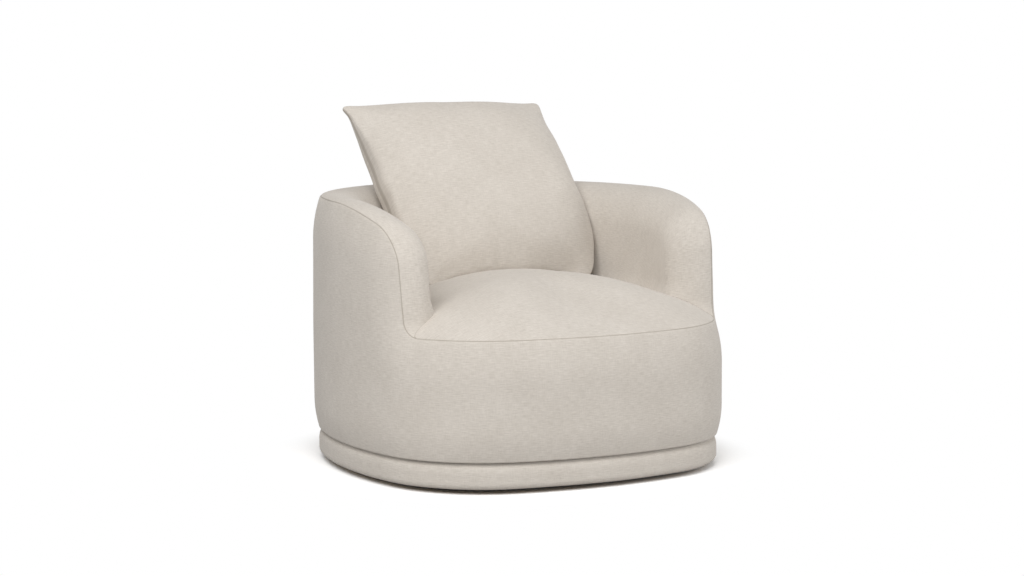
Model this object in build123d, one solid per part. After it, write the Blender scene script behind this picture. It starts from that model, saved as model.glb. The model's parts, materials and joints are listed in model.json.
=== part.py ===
from build123d import *
import math
import os

# Upholstered swivel tub chair. Millimetres, +Z up, the chair faces -Y.
# The origin is on the floor, on the swivel axis, in the middle of the width and the depth.

# Overall form
chair_width = 950.0
chair_depth = 978.0
widest_y = -55.0
front_radius = 1026.0
front_corner_radius = 303.0
side_radius = 847.0
back_corner_radius = 406.0
back_radius = 538.0
wall_top_height = 659.0
seat_seam_height = 358.0
seat_crown_height = 462.0
seat_fullness = 2.4
seat_stations = (1.0, 0.94, 0.84, 0.68, 0.46, 0.22)

# Arms and back: one wall that stands round the seat
arm_thickness = 119.0
back_thickness = 185.0
inner_back_corner_radius = 300.0
inner_back_radius = 520.0
arm_front_y = -281.0
arm_front_lean = 6.0
arm_foot_radius = 38.0
arm_nose_radius = 124.0
arm_top_radius = 740.0
arm_crest_y = 46.0
outer_edge_radius = 24.0
inner_edge_radius = 66.0
seam_inset = 19.0

# Layers of the upholstery
cover_thickness = 3.0
wadding_thickness = 9.0
liner_thickness = 3.0
wall_frame_depth = 50.0
webbing_thickness = 1.5
top_padding = 45.0
soft_gap = 0.5

# Base band and the tub's lower edge
floor_gap = 12.0
band_height = 62.0
band_inset = 12.0
band_edge_radius = 16.0
band_foam_thickness = 12.0
band_frame_thickness = 18.0
band_frame_lift = 3.0
groove_height = 3.0
barrel_height = 85.0
barrel_inset = 13.0
barrel_steps = 3

# Swivel base
glide_diameter = 34.0
glide_height = 8.0
glide_count = 6
glide_edge_distance = 26.0
glide_screw_recess = 2.0
base_board_diameter = 640.0
base_board_thickness = 20.0
base_board_edge_radius = 3.0
plate_diameter = 300.0
plate_thickness = 4.0
ball_diameter = 8.0
ball_count = 20
race_diameter = 240.0
race_depth = 1.7
race_clearance = 0.12
cage_width = 16.0
cage_thickness = 2.0
pivot_diameter = 12.0
pivot_clearance = 0.05
pivot_head_height = 7.0
pivot_head_width = 19.0
pivot_washer_diameter = 32.0
pivot_washer_thickness = 2.5
pivot_nut_height = 10.0
washer_play = 0.1

# Frame boards
rail_width = 60.0
rail_length = 700.0
rail_spacing = 180.0
rail_bolt_end_distance = 50.0
bottom_board_thickness = 15.0
dust_cover_thickness = 1.0
seat_ring_height = 282.0
seat_ring_thickness = 18.0
seat_opening_width = 500.0
seat_opening_front_y = -300.0
seat_opening_back_y = 200.0
seat_opening_corner = 40.0
post_width = 45.0
post_angles = (-112.0, -68.0, -152.0, -28.0, 164.0, 16.0, 122.0, 58.0)
rib_thickness = 21.0
rib_angles = (172.0, 8.0, 150.0, 30.0, 114.0, 66.0, 90.0)
top_rail_thickness = 18.0
arm_board_thickness = 15.0
arm_board_gap = 2.0
strap_width = 50.0
strap_count = 3
strap_spacing = 78.0
strap_first_height = 345.0
strap_front_y = -200.0

# Seat springs
spring_count = 5
spring_spacing = 100.0
spring_wire = 3.6
spring_pitch = 30.0
spring_width = 64.0
spring_straight = 0.5
clip_width = 30.0
clip_length = 26.0
clip_height = 8.0
clip_overlap = 18.0
clip_screw_length = 16.0
clip_screw_edge = 1.0
felt_thickness = 6.0
felt_gap = 0.3

# Loose pillow
pillow_width = 560.0
pillow_height = 498.0
pillow_thickness = 196.0
pillow_edge = 8.0
pillow_draw_in = 11.0
pillow_fullness = 2.2
pillow_end_softness = 0.7
pillow_least_swell = 1.5
pillow_lean = 35.0
pillow_gap = 0.4
pillow_start_y = 150.0
pillow_start_rise = 60.0
pillow_settle_rounds = 4
pillow_stations = (-1.0, -0.82, -0.45, 0.0, 0.45, 0.82, 1.0)

# Fasteners: shank, head and length
screw_shank = 5.0
screw_head = 10.0
screw_head_height = 3.0
screw_grip = 28.0
bolt_shank = 8.0
bolt_head = 18.0
bolt_head_height = 5.0
nut_width = 13.0
nut_height = 6.5
lower_screw_count = 8
lower_screw_end_cover = 4.0
upper_screw_angles = (8.0, 41.0)
band_screw_count = 8

# Levels worked out from the sizes above
band_bottom = floor_gap
band_top = band_bottom + band_height
tub_bottom = band_top + groove_height
bottom_board_top = tub_bottom + bottom_board_thickness
seat_ring_top = seat_ring_height + seat_ring_thickness
base_board_top = glide_height + base_board_thickness
lower_plate_top = base_board_top + plate_thickness
race_radius = ball_diameter / 2 + race_clearance
plate_gap = 2 * (race_radius - race_depth)
ball_level = lower_plate_top + plate_gap / 2
upper_plate_bottom = lower_plate_top + plate_gap
upper_plate_top = upper_plate_bottom + plate_thickness
clip_top = seat_ring_top + clip_height
felt_bottom = clip_top + felt_gap
felt_top = felt_bottom + felt_thickness
wadding_back = cover_thickness + wadding_thickness
liner_back = wadding_back + liner_thickness
frame_back = liner_back + wall_frame_depth
webbing_back = frame_back + webbing_thickness
top_rail_top = wall_top_height - top_padding
top_rail_bottom = top_rail_top - top_rail_thickness
half_width = chair_width / 2
front_y = -chair_depth / 2
back_y = chair_depth / 2
far = chair_width + chair_depth
outline_tolerance = 0.05
angle_tolerance = 1.0
upright_slope = 0.9999


def circles_meet(first, first_radius, second, second_radius, toward_y):
    """Crossing of two circles in plan, on the outer side and towards the given end of the chair."""
    run = second - first
    length = run.length
    along = (first_radius**2 - second_radius**2 + length**2) / (2 * length)
    aside = math.sqrt(first_radius**2 - along**2)
    direction = run.normalized()
    across = Vector(-direction.Y, direction.X)
    crossings = [first + direction * along + across * side for side in (aside, -aside)]
    return max(crossings, key=lambda point: point.X + toward_y * point.Y)


def angle_of(center, point):
    """Direction from an arc's centre to a point, in degrees."""
    return math.degrees(math.atan2(point.Y - center.Y, point.X - center.X))


class Plan:
    """An outline seen from above: front, corners, sides, rear corners and back as tangent arcs."""

    def __init__(self, half, front, back, front_r, corner_r, side_r, back_corner_r, back_r):
        front_c = Vector(0, front + front_r)
        side_c = Vector(half - side_r, widest_y)
        back_c = Vector(0, back - back_r)
        corner_c = circles_meet(front_c, front_r - corner_r, side_c, side_r - corner_r, -1)
        back_corner_c = circles_meet(side_c, side_r - back_corner_r, back_c, back_r - back_corner_r, 1)
        turns = [
            -90.0,
            angle_of(front_c, corner_c),
            angle_of(side_c, corner_c),
            angle_of(side_c, back_corner_c),
            angle_of(back_c, back_corner_c),
            90.0,
        ]
        centers = [front_c, corner_c, side_c, back_corner_c, back_c]
        radii = [front_r, corner_r, side_r, back_corner_r, back_r]
        self.arcs = list(zip(centers, radii, turns, turns[1:]))

    def face(self, inset, level):
        """The outline drawn in by inset, as a face at a level."""
        edges = []
        for center, radius, start, end in self.arcs:
            edges.append(CenterArc(center, radius - inset, start, end - start))
            mirrored = Vector(-center.X, center.Y)
            edges.append(CenterArc(mirrored, radius - inset, 180 - end, end - start))
        return Pos(0, 0, level) * Face(Wire(edges))

    def prism(self, inset, bottom, top):
        """Everything inside the drawn-in outline, between two levels."""
        return extrude(self.face(inset, bottom), amount=top - bottom)

    def ring(self, outer_inset, inner_inset, bottom, top):
        """The band between two drawn-in outlines."""
        return self.prism(outer_inset, bottom, top) - self.prism(inner_inset, bottom, top)

    def place(self, angle, inset):
        """Point on the drawn-in outline where it faces the given direction."""
        folded = angle if abs(angle) <= 90 else math.copysign(180 - abs(angle), angle)
        for center, radius, start, end in self.arcs:
            if start <= folded <= end:
                reach = radius - inset
                x = center.X + reach * math.cos(math.radians(folded))
                y = center.Y + reach * math.sin(math.radians(folded))
                return Location((x if folded == angle else -x, y, 0), (0, 0, angle))
        raise ValueError("no arc faces this direction")

    def half_width_at(self, y, inset):
        """Half the width of the drawn-in outline on a cross line."""
        for center, radius, start, end in self.arcs:
            reach = radius - inset
            aside = y - center.Y
            if abs(aside) <= reach and start <= math.degrees(math.asin(aside / reach)) <= end:
                return center.X + math.sqrt(reach**2 - aside**2)
        raise ValueError("the outline does not reach this line")

    def inset_of(self, point):
        """How far a point lies inside the outline."""
        folded = Vector(abs(point.X), point.Y)
        depths = []
        for center, radius, start, end in self.arcs:
            if start - angle_tolerance <= angle_of(center, folded) <= end + angle_tolerance:
                depths.append(radius - (folded - center).length)
        return min(depths, key=abs) if depths else far


outer_plan = Plan(
    half_width,
    front_y,
    back_y,
    front_radius,
    front_corner_radius,
    side_radius,
    back_corner_radius,
    back_radius,
)
inner_plan = Plan(
    half_width - arm_thickness,
    front_y + arm_thickness,
    back_y - back_thickness,
    front_radius - arm_thickness,
    front_corner_radius - arm_thickness,
    side_radius - arm_thickness,
    inner_back_corner_radius,
    inner_back_radius,
)


def arc_about(center, start, end):
    """Arc from start to end round a centre, the short way."""
    middle = (start - center).normalized() + (end - center).normalized()
    return ThreePointArc(start, center + middle.normalized() * (start - center).length, end)


def side_profile(inset):
    """Edges of the tub's top line seen from the side, drawn in by inset, from the front to the back.

    The first coordinate runs front to back and the second runs up.
    """
    lean = math.radians(arm_front_lean)
    rise = Vector(math.sin(lean), math.cos(lean))
    inward = Vector(math.cos(lean), -math.sin(lean))
    foot_start = Vector(arm_front_y, seat_seam_height)
    foot_c = foot_start - inward * arm_foot_radius
    foot_c += rise * ((seat_seam_height + arm_foot_radius - foot_c.Y) / rise.Y)
    top_c = Vector(arm_crest_y, wall_top_height - arm_top_radius)
    nose_line = foot_start + inward * arm_nose_radius
    to_line = nose_line - top_c
    along = to_line.dot(rise)
    reach = arm_top_radius - arm_nose_radius
    nose_c = nose_line + rise * (math.sqrt(along**2 - to_line.dot(to_line) + reach**2) - along)
    seam_level = seat_seam_height - inset
    foot_front = Vector(foot_c.X, seam_level)
    foot_rear = foot_c + inward * (arm_foot_radius + inset)
    nose_front = nose_c - inward * (arm_nose_radius - inset)
    nose_top = top_c + (nose_c - top_c).normalized() * (arm_top_radius - inset)
    crest = Vector(arm_crest_y, wall_top_height - inset)
    return [
        Line(Vector(-far, seam_level), foot_front),
        arc_about(foot_c, foot_front, foot_rear),
        Line(foot_rear, nose_front),
        arc_about(nose_c, nose_front, nose_top),
        arc_about(top_c, nose_top, crest),
        Line(crest, Vector(far, wall_top_height - inset)),
    ]


def foot_front_y():
    """Where the curve at the foot of the arm front starts."""
    return side_profile(0.0)[1].position_at(0).X


def under_profile(inset):
    """Everything under the tub's top line drawn in by inset."""
    edges = side_profile(inset)
    first = edges[0].position_at(0)
    last = edges[-1].position_at(1)
    edges += [
        Line(last, Vector(last.X, 0)),
        Line(Vector(last.X, 0), Vector(first.X, 0)),
        Line(Vector(first.X, 0), first),
    ]
    return extrude(Plane.YZ * Face(Wire(edges)), amount=far, both=True)


def rim_edges(solid, plan, inset, least_height):
    """Edges of a solid's top rim that lie on a drawn-in outline."""
    chosen = []
    for edge in solid.edges():
        middle = edge.position_at(0.5)
        upright = abs(edge.tangent_at(0.5).Z) > upright_slope and edge.geom_type == GeomType.LINE
        on_outline = abs(plan.inset_of(middle) - inset) < outline_tolerance
        if on_outline and not upright and middle.Z > least_height:
            chosen.append(edge)
    return chosen


def barrel(inset):
    """The tub's outer form without its top line: upright sides that draw in towards the groove."""
    sections = []
    for step in range(barrel_steps + 1):
        share = step / barrel_steps
        drawn_in = barrel_inset * (1 - share) ** 2
        sections.append(outer_plan.face(inset + drawn_in, tub_bottom + barrel_height * share))
    lower = loft(sections)
    return lower + outer_plan.prism(inset, tub_bottom + barrel_height, wall_top_height)


def tub_body(inset):
    """The whole tub's outer form, drawn in by inset, with its rounded rim."""
    body = barrel(inset) & under_profile(inset)
    rim = rim_edges(body, outer_plan, inset, seat_seam_height - inset - 1)
    return fillet(rim, outer_edge_radius - inset)


def wall_body(inset):
    """Arms and back as one wall, drawn in by inset, with its rolled inner edge."""
    inside = inner_plan.prism(-inset, seat_ring_top, wall_top_height)
    behind = Pos(0, foot_front_y(), seat_ring_top) * Box(
        far, far, far, align=(Align.CENTER, Align.MIN, Align.MIN)
    )
    wall = (tub_body(inset) & behind) - inside
    rim = rim_edges(wall, inner_plan, -inset, seat_seam_height - inset + 1)
    return fillet(rim, inner_edge_radius - inset)


def seat_dome(inset):
    """Crowned seat: outlines that shrink towards the middle as they rise."""
    crown = seat_crown_height - seat_seam_height
    base = outer_plan.face(seam_inset + inset, 0.0)
    sections = []
    for share in seat_stations:
        level = seat_seam_height - inset + crown * (1 - share**seat_fullness)
        sections.append(Pos(0, 0, level) * scale(base, share))
    block = outer_plan.prism(seam_inset + inset, felt_top, seat_seam_height - inset)
    return loft(sections) + block


def seat_solid(inset):
    """The seat's form, drawn in by inset, cut to fit against the arms and back."""
    return seat_dome(inset) - wall_body(0)


def screw(location, length):
    """A pan-head screw that points down, its head resting on the location."""
    head = Cylinder(screw_head / 2, screw_head_height, align=(Align.CENTER, Align.CENTER, Align.MIN))
    shank = Cylinder(screw_shank / 2, length, align=(Align.CENTER, Align.CENTER, Align.MAX))
    return location * (head + shank)


def screw_up(location, length):
    """A pan-head screw that points up."""
    return location * (Rot(180, 0, 0) * screw(Location(), length))


def disc(diameter, height, level):
    """A round plate on the swivel axis."""
    return Pos(0, 0, level) * Cylinder(
        diameter / 2, height, align=(Align.CENTER, Align.CENTER, Align.MIN)
    )


def hexagon(width, height, level):
    """A hexagon head or nut on the swivel axis, by its width across flats."""
    return extrude(Pos(0, 0, level) * RegularPolygon(width / 2, 6, major_radius=False), amount=height)


def polar(radius, count, start=0.0):
    """Places spread evenly round the swivel axis."""
    return [Rot(0, 0, start + 360 * i / count) * Pos(radius, 0, 0) for i in range(count)]


def four_places(x, y):
    """Places mirrored left to right and front to back."""
    return [(x, y), (-x, y), (x, -y), (-x, -y)]


# Swivel base
glide_places = polar(base_board_diameter / 2 - glide_edge_distance, glide_count)
lower_screw_radius = (race_diameter / 2 + race_radius + plate_diameter / 2) / 2
lower_screw_places = polar(lower_screw_radius, lower_screw_count, 180 / lower_screw_count)
upper_screw_radius = race_diameter / 2 - race_radius - 1.5 * screw_head
upper_screw_places = []
for turn in upper_screw_angles:
    screw_x = upper_screw_radius * math.cos(math.radians(turn))
    screw_y = upper_screw_radius * math.sin(math.radians(turn))
    upper_screw_places += four_places(screw_x, screw_y)
rail_bolt_places = four_places(rail_spacing / 2, rail_length / 2 - rail_bolt_end_distance)


def make_floor_glides():
    """Nylon glides with rounded lower edges, each with a screw hole."""
    glide = disc(glide_diameter, glide_height, 0)
    glide = fillet(glide.edges().sort_by(Axis.Z)[0], glide_height / 4)
    glide -= disc(screw_head, glide_screw_recess + screw_head_height, 0)
    glide -= disc(screw_shank, glide_height, 0)
    return [place * glide for place in glide_places]


def make_glide_screws():
    """Screws that hold the glides from below, with sunk heads."""
    seat = Pos(0, 0, glide_screw_recess + screw_head_height)
    return [screw_up(place * seat, base_board_thickness) for place in glide_places]


def make_lower_plate_screws():
    """Screws that hold the lower plate down on the base board."""
    seat = Pos(0, 0, lower_plate_top)
    length = base_board_thickness - lower_screw_end_cover
    return [screw(place * seat, length) for place in lower_screw_places]


def make_upper_plate_screws():
    return [screw_up(Pos(x, y, upper_plate_bottom), screw_grip) for x, y in upper_screw_places]


def make_pivot_bolt():
    """Bolt up through both plates; its head is let into the base board."""
    head = hexagon(pivot_head_width, pivot_head_height, base_board_top - pivot_head_height)
    top = upper_plate_top + washer_play + pivot_washer_thickness + pivot_nut_height
    return head + disc(pivot_diameter, top - base_board_top, base_board_top)


def make_pivot_washer():
    washer = disc(pivot_washer_diameter, pivot_washer_thickness, upper_plate_top + washer_play)
    return washer - make_pivot_bolt()


def make_pivot_nut():
    level = upper_plate_top + washer_play + pivot_washer_thickness
    return hexagon(pivot_head_width, pivot_nut_height, level) - make_pivot_bolt()


def race_ring():
    """The round groove that both plates share, centred on the balls."""
    return Pos(0, 0, ball_level) * Torus(race_diameter / 2, race_radius)


def make_lower_plate():
    plate = disc(plate_diameter, plate_thickness, base_board_top) - race_ring()
    return plate - make_pivot_bolt() - make_lower_plate_screws()


def make_upper_plate():
    plate = disc(plate_diameter, plate_thickness, upper_plate_bottom) - race_ring()
    bore = disc(pivot_diameter + 2 * pivot_clearance, plate_thickness, upper_plate_bottom)
    return plate - bore - make_upper_plate_screws()


def make_base_board():
    board = disc(base_board_diameter, base_board_thickness, glide_height)
    board = fillet(board.edges().group_by(Axis.Z)[-1], base_board_edge_radius)
    return board - make_pivot_bolt() - make_glide_screws() - make_lower_plate_screws()


def make_bearing_balls():
    ball = Pos(0, 0, ball_level) * Sphere(ball_diameter / 2)
    return [place * ball for place in polar(race_diameter / 2, ball_count)]


def make_ball_cage():
    level = ball_level - cage_thickness / 2
    cage = disc(race_diameter + cage_width, cage_thickness, level)
    cage -= disc(race_diameter - cage_width, cage_thickness, level)
    hole = disc(2 * race_radius, cage_thickness, level)
    return cage - [place * hole for place in polar(race_diameter / 2, ball_count)]


# Lower frame and base band
band_outer = band_inset + cover_thickness + band_foam_thickness
band_inner = band_outer + band_frame_thickness
band_screw_angles = [180 - 360 * i / band_screw_count for i in range(band_screw_count)]
bottom_board_inset = barrel_inset + liner_back


def make_swivel_rail(side):
    """Hardwood rail, front to back, between the upper plate and the bottom board."""
    thickness = tub_bottom - upper_plate_top
    rail = Pos(side * rail_spacing / 2, 0, upper_plate_top) * Box(
        rail_width, rail_length, thickness, align=(Align.CENTER, Align.CENTER, Align.MIN)
    )
    return rail - make_upper_plate_screws() - make_rail_bolts()


def make_rail_bolts():
    """Bolts with low round heads, up through the rails and the bottom board."""
    head = Pos(0, 0, upper_plate_top) * Cylinder(
        bolt_head / 2, bolt_head_height, align=(Align.CENTER, Align.CENTER, Align.MAX)
    )
    head = fillet(head.edges().sort_by(Axis.Z)[0], bolt_head_height / 2)
    shank = disc(bolt_shank, bottom_board_top + nut_height - upper_plate_top, upper_plate_top)
    return [Pos(x, y, 0) * (head + shank) for x, y in rail_bolt_places]


def make_rail_nuts():
    nut = hexagon(nut_width, nut_height, bottom_board_top) - disc(bolt_shank, nut_height, bottom_board_top)
    return [Pos(x, y, 0) * nut for x, y in rail_bolt_places]


def make_band_screws():
    """Screws down through the bottom board into the band frame."""
    middle = (band_outer + band_inner) / 2
    places = [outer_plan.place(angle, middle) for angle in band_screw_angles]
    seat = Pos(0, 0, bottom_board_top)
    return [screw(seat * place, screw_grip + bottom_board_thickness) for place in places]


def make_bottom_board():
    board = outer_plan.prism(bottom_board_inset, tub_bottom, bottom_board_top)
    return board - make_rail_bolts() - make_band_screws()


def make_dust_cover():
    """Black lining stapled under the bottom board, cut out round the rails."""
    cover = outer_plan.prism(band_inner, tub_bottom - dust_cover_thickness, tub_bottom)
    for side in (-1, 1):
        cover -= Pos(side * rail_spacing / 2, 0, tub_bottom) * Box(
            rail_width, rail_length, 2 * dust_cover_thickness
        )
    return cover


def band_body(inset):
    """Form of the upholstered base band, drawn in by inset, with rounded edges."""
    body = outer_plan.prism(band_inset + inset, band_bottom + inset, band_top - inset)
    rims = body.edges().group_by(Axis.Z)
    return fillet(rims[0] + rims[-1], band_edge_radius - inset)


def make_band_cover():
    return band_body(0) - band_body(cover_thickness) - outer_plan.prism(band_outer, 0, tub_bottom)


def make_band_foam():
    return band_body(cover_thickness) - outer_plan.prism(band_outer, 0, tub_bottom)


def make_band_frame():
    ring = outer_plan.ring(band_outer, band_inner, band_bottom + band_frame_lift, tub_bottom)
    return ring - make_band_screws()


# Seat frame and springs
post_center = liner_back + post_width / 2
clip_front_y = seat_opening_front_y - clip_overlap + clip_length / 2
clip_back_y = seat_opening_back_y + clip_overlap - clip_length / 2
spring_level = seat_ring_top + clip_height / 2
spring_columns = [spring_spacing * (i - (spring_count - 1) / 2) for i in range(spring_count)]


def make_seat_post(angle):
    """Hardwood post from the bottom board up to the seat ring."""
    height = seat_ring_height - bottom_board_top
    post = Box(post_width, post_width, height, align=(Align.CENTER, Align.CENTER, Align.MIN))
    place = Pos(0, 0, bottom_board_top) * outer_plan.place(angle, post_center + barrel_inset)
    return place * post - make_post_screws()


def make_post_screws():
    """Sunk screws down through the seat ring into the posts."""
    sunk = Pos(0, 0, seat_ring_top - screw_head_height)
    places = [outer_plan.place(angle, post_center + barrel_inset) for angle in post_angles]
    return [screw(sunk * place, screw_grip + seat_ring_thickness) for place in places]


def make_clip_screws():
    """Sunk screws that hold the clips on the seat ring."""
    level = clip_top - screw_head_height
    return [screw(Pos(x, y, level), clip_screw_length) for x, y in clip_screw_places()]


def clip_screw_places():
    """A clip's screw stands on its part that lies on the ring, beside the wire's end."""
    aside = clip_width / 2 - screw_head / 2 - clip_screw_edge
    places = []
    for x in spring_columns:
        places.append((x + aside, clip_front_y - clip_length / 2 + clip_overlap / 2))
        places.append((x + aside, clip_back_y + clip_length / 2 - clip_overlap / 2))
    return places


def make_seat_ring():
    """Plywood ring that carries the springs, posts and wall ribs."""
    ring = outer_plan.prism(liner_back, seat_ring_height, seat_ring_top)
    depth = seat_opening_back_y - seat_opening_front_y
    opening = RectangleRounded(seat_opening_width, depth, seat_opening_corner)
    middle_y = (seat_opening_front_y + seat_opening_back_y) / 2
    ring -= extrude(Pos(0, middle_y, seat_ring_height) * opening, amount=seat_ring_thickness)
    return ring - make_post_screws() - make_clip_screws()


def spring_path(x):
    """Zigzag wire line from the front clip to the back clip."""
    runs = int((clip_back_y - clip_front_y - 2 * clip_length) / spring_pitch)
    lead = (clip_back_y - clip_front_y - runs * spring_pitch) / 2
    reach = spring_width / 2
    points = [(x, clip_front_y), (x, clip_front_y + lead)]
    for run in range(runs):
        y = clip_front_y + lead + run * spring_pitch
        side = reach if run % 2 == 0 else -reach
        points += [(x + side, y), (x + side, y + spring_pitch)]
    points += [(x, clip_back_y - lead), (x, clip_back_y)]
    bend = spring_pitch / 2 - spring_straight
    return Pos(0, 0, spring_level) * FilletPolyline(*points, radius=bend)


def make_seat_springs():
    """Zigzag springs, front to back, each bent from one wire."""
    springs = []
    for x in spring_columns:
        path = spring_path(x)
        section = Plane(path @ 0, z_dir=path % 0) * Circle(spring_wire / 2)
        springs.append(sweep(section, path=path))
    return springs


def make_spring_clips():
    """Clips that hold the wire ends on the seat ring."""
    clip = Box(clip_width, clip_length, clip_height, align=(Align.CENTER, Align.CENTER, Align.MIN))
    hole = Cylinder(spring_wire / 2, clip_length, rotation=(90, 0, 0))
    clip -= Pos(0, 0, clip_height / 2) * hole
    places = [Pos(x, y, seat_ring_top) for x in spring_columns for y in (clip_front_y, clip_back_y)]
    return [place * clip - make_clip_screws() for place in places]


def make_spring_felt():
    """Felt pad over the springs, under the seat foam."""
    between_arms = inner_plan.prism(soft_gap, felt_bottom, felt_top)
    in_front = outer_plan.prism(seam_inset + soft_gap, felt_bottom, felt_top)
    in_front -= further_back(foot_front_y() - soft_gap)
    return between_arms + in_front


# Frame of the arms and back
def further_back(y):
    """Everything that lies behind a cross plane."""
    return Pos(0, y, 0) * Box(far, far, far, align=(Align.CENTER, Align.MIN, Align.MIN))


def frame_room():
    """Hollow inside the wall that its frame and straps stand in."""
    room = outer_plan.ring(liner_back, webbing_back, seat_ring_top, top_rail_top)
    return room & under_profile(top_padding) & further_back(arm_front_y + top_padding)


def make_wall_rib(angle):
    """Upright plywood rib between the seat ring and the top rail."""
    height = top_rail_bottom - seat_ring_top
    blank = Box(2 * wall_frame_depth, rib_thickness, height, align=(Align.CENTER, Align.CENTER, Align.MIN))
    place = Pos(0, 0, seat_ring_top) * outer_plan.place(angle, liner_back + wall_frame_depth / 2)
    rib = place * blank & outer_plan.ring(liner_back, frame_back, seat_ring_top, top_rail_bottom)
    return rib - make_top_rail_screws()


def make_top_rail():
    """Curved plywood rail on top of the ribs, from arm to arm."""
    rail = outer_plan.ring(liner_back, frame_back, top_rail_bottom, top_rail_top)
    rail &= further_back(arm_crest_y)
    return rail - make_top_rail_screws()


def make_top_rail_screws():
    """Sunk screws down through the top rail into the ribs."""
    sunk = Pos(0, 0, top_rail_top - screw_head_height)
    places = [outer_plan.place(angle, liner_back + wall_frame_depth / 2) for angle in rib_angles]
    return [screw(sunk * place, top_rail_thickness + screw_grip) for place in places]


def make_arm_board(side):
    """Upright board that gives an arm its side profile in front of the top rail."""
    front = arm_front_y + top_padding
    outer_x = outer_plan.half_width_at(front, liner_back)
    blank = Pos(outer_x, front, seat_ring_top) * Box(
        arm_board_thickness,
        arm_crest_y - arm_board_gap - front,
        wall_top_height,
        align=(Align.MAX, Align.MIN, Align.MIN),
    )
    board = blank & under_profile(top_padding)
    return board if side > 0 else mirror(board, about=Plane.YZ)


def make_back_webbing():
    """Straps across the inner faces of the ribs, behind the inside foam."""
    straps = []
    for row in range(strap_count):
        bottom = strap_first_height + row * strap_spacing
        strap = outer_plan.ring(frame_back, webbing_back, bottom, bottom + strap_width)
        straps.append(strap & further_back(strap_front_y))
    return straps


# Upholstery
def make_outer_liner():
    """Thin board that closes the outside of the frame."""
    return (barrel(wadding_back) - barrel(liner_back)) & under_profile(top_padding)


def within_seam():
    """Everything inside the line where the outer cover is sewn to the inside and seat covers."""
    return outer_plan.prism(seam_inset, tub_bottom, wall_top_height)


def make_outer_wadding():
    return tub_body(cover_thickness) - tub_body(wadding_back) - within_seam()


def make_outer_cover():
    """Outside panel: round the tub, from the groove up to the seam."""
    return tub_body(0) - tub_body(cover_thickness) - within_seam()


def make_inside_foam():
    """Foam on the inside and over the top of the arms and back."""
    inside_liner = outer_plan.prism(liner_back, seat_ring_top, wall_top_height)
    return (wall_body(cover_thickness) & inside_liner) - frame_room() - make_outer_wadding()


def make_inside_cover():
    """Inside panel: up the arms and back, over the top and down to the seam."""
    return (wall_body(0) - wall_body(cover_thickness)) & within_seam()


def make_seat_foam():
    return seat_solid(cover_thickness)


def make_seat_cover():
    """Seat panel, tucked down at the arms, the back and the front seam."""
    return seat_solid(0) - seat_dome(cover_thickness)


# Loose pillow
def pillow_section(share, inset):
    """Lens-shaped cut across the pillow at a share of its half height."""
    waist = 1 - share**2
    half = pillow_width / 2 - pillow_draw_in * waist - inset
    edge = pillow_edge / 2 - inset / 2
    roundness = (1 - abs(share) ** pillow_fullness) ** pillow_end_softness
    swell = (pillow_thickness / 2 - pillow_edge / 2) * roundness
    bulge = edge + max(swell - inset, 0) + pillow_least_swell
    outline = [
        Line((-half, -edge), (-half, edge)),
        ThreePointArc((-half, edge), (0, bulge), (half, edge)),
        Line((half, edge), (half, -edge)),
        ThreePointArc((half, -edge), (0, -bulge), (-half, -edge)),
    ]
    return Face(Wire(outline))


def pillow_body(inset):
    """The pillow's form, drawn in by inset, leaning back about its middle."""
    lean = math.radians(pillow_lean)
    rise = Vector(0, math.sin(lean), math.cos(lean))
    reach = pillow_height / 2 - inset
    sections = []
    for share in pillow_stations:
        plane = Plane(rise * (share * reach), x_dir=(1, 0, 0), z_dir=rise)
        sections.append(plane * pillow_section(share, inset))
    return loft(sections)


def pillow_place():
    """Where the pillow comes to rest: down on the seat and back against the wall."""
    seat = seat_solid(0)
    wall = wall_body(0)
    body = pillow_body(0)
    middle = seat_crown_height + pillow_height / 2 * math.cos(math.radians(pillow_lean))
    offset = Vector(0, pillow_start_y, middle + pillow_start_rise)
    for _ in range(pillow_settle_rounds):
        offset -= Vector(0, 0, seat.distance_to(Pos(offset) * body) - pillow_gap)
        offset += Vector(0, wall.distance_to(Pos(offset) * body) - pillow_gap, 0)
    offset -= Vector(0, 0, seat.distance_to(Pos(offset) * body) - pillow_gap)
    return Pos(offset)


def write_nodes(nodes):
    """One file for each named node."""
    os.makedirs("parts", exist_ok=True)
    for name, shape in nodes.items():
        pieces = shape if isinstance(shape, list) else [shape]
        solids = [solid for piece in pieces for solid in piece.solids()]
        export_step(solids[0] if len(solids) == 1 else Compound(solids), f"parts/{name}.step")


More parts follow.
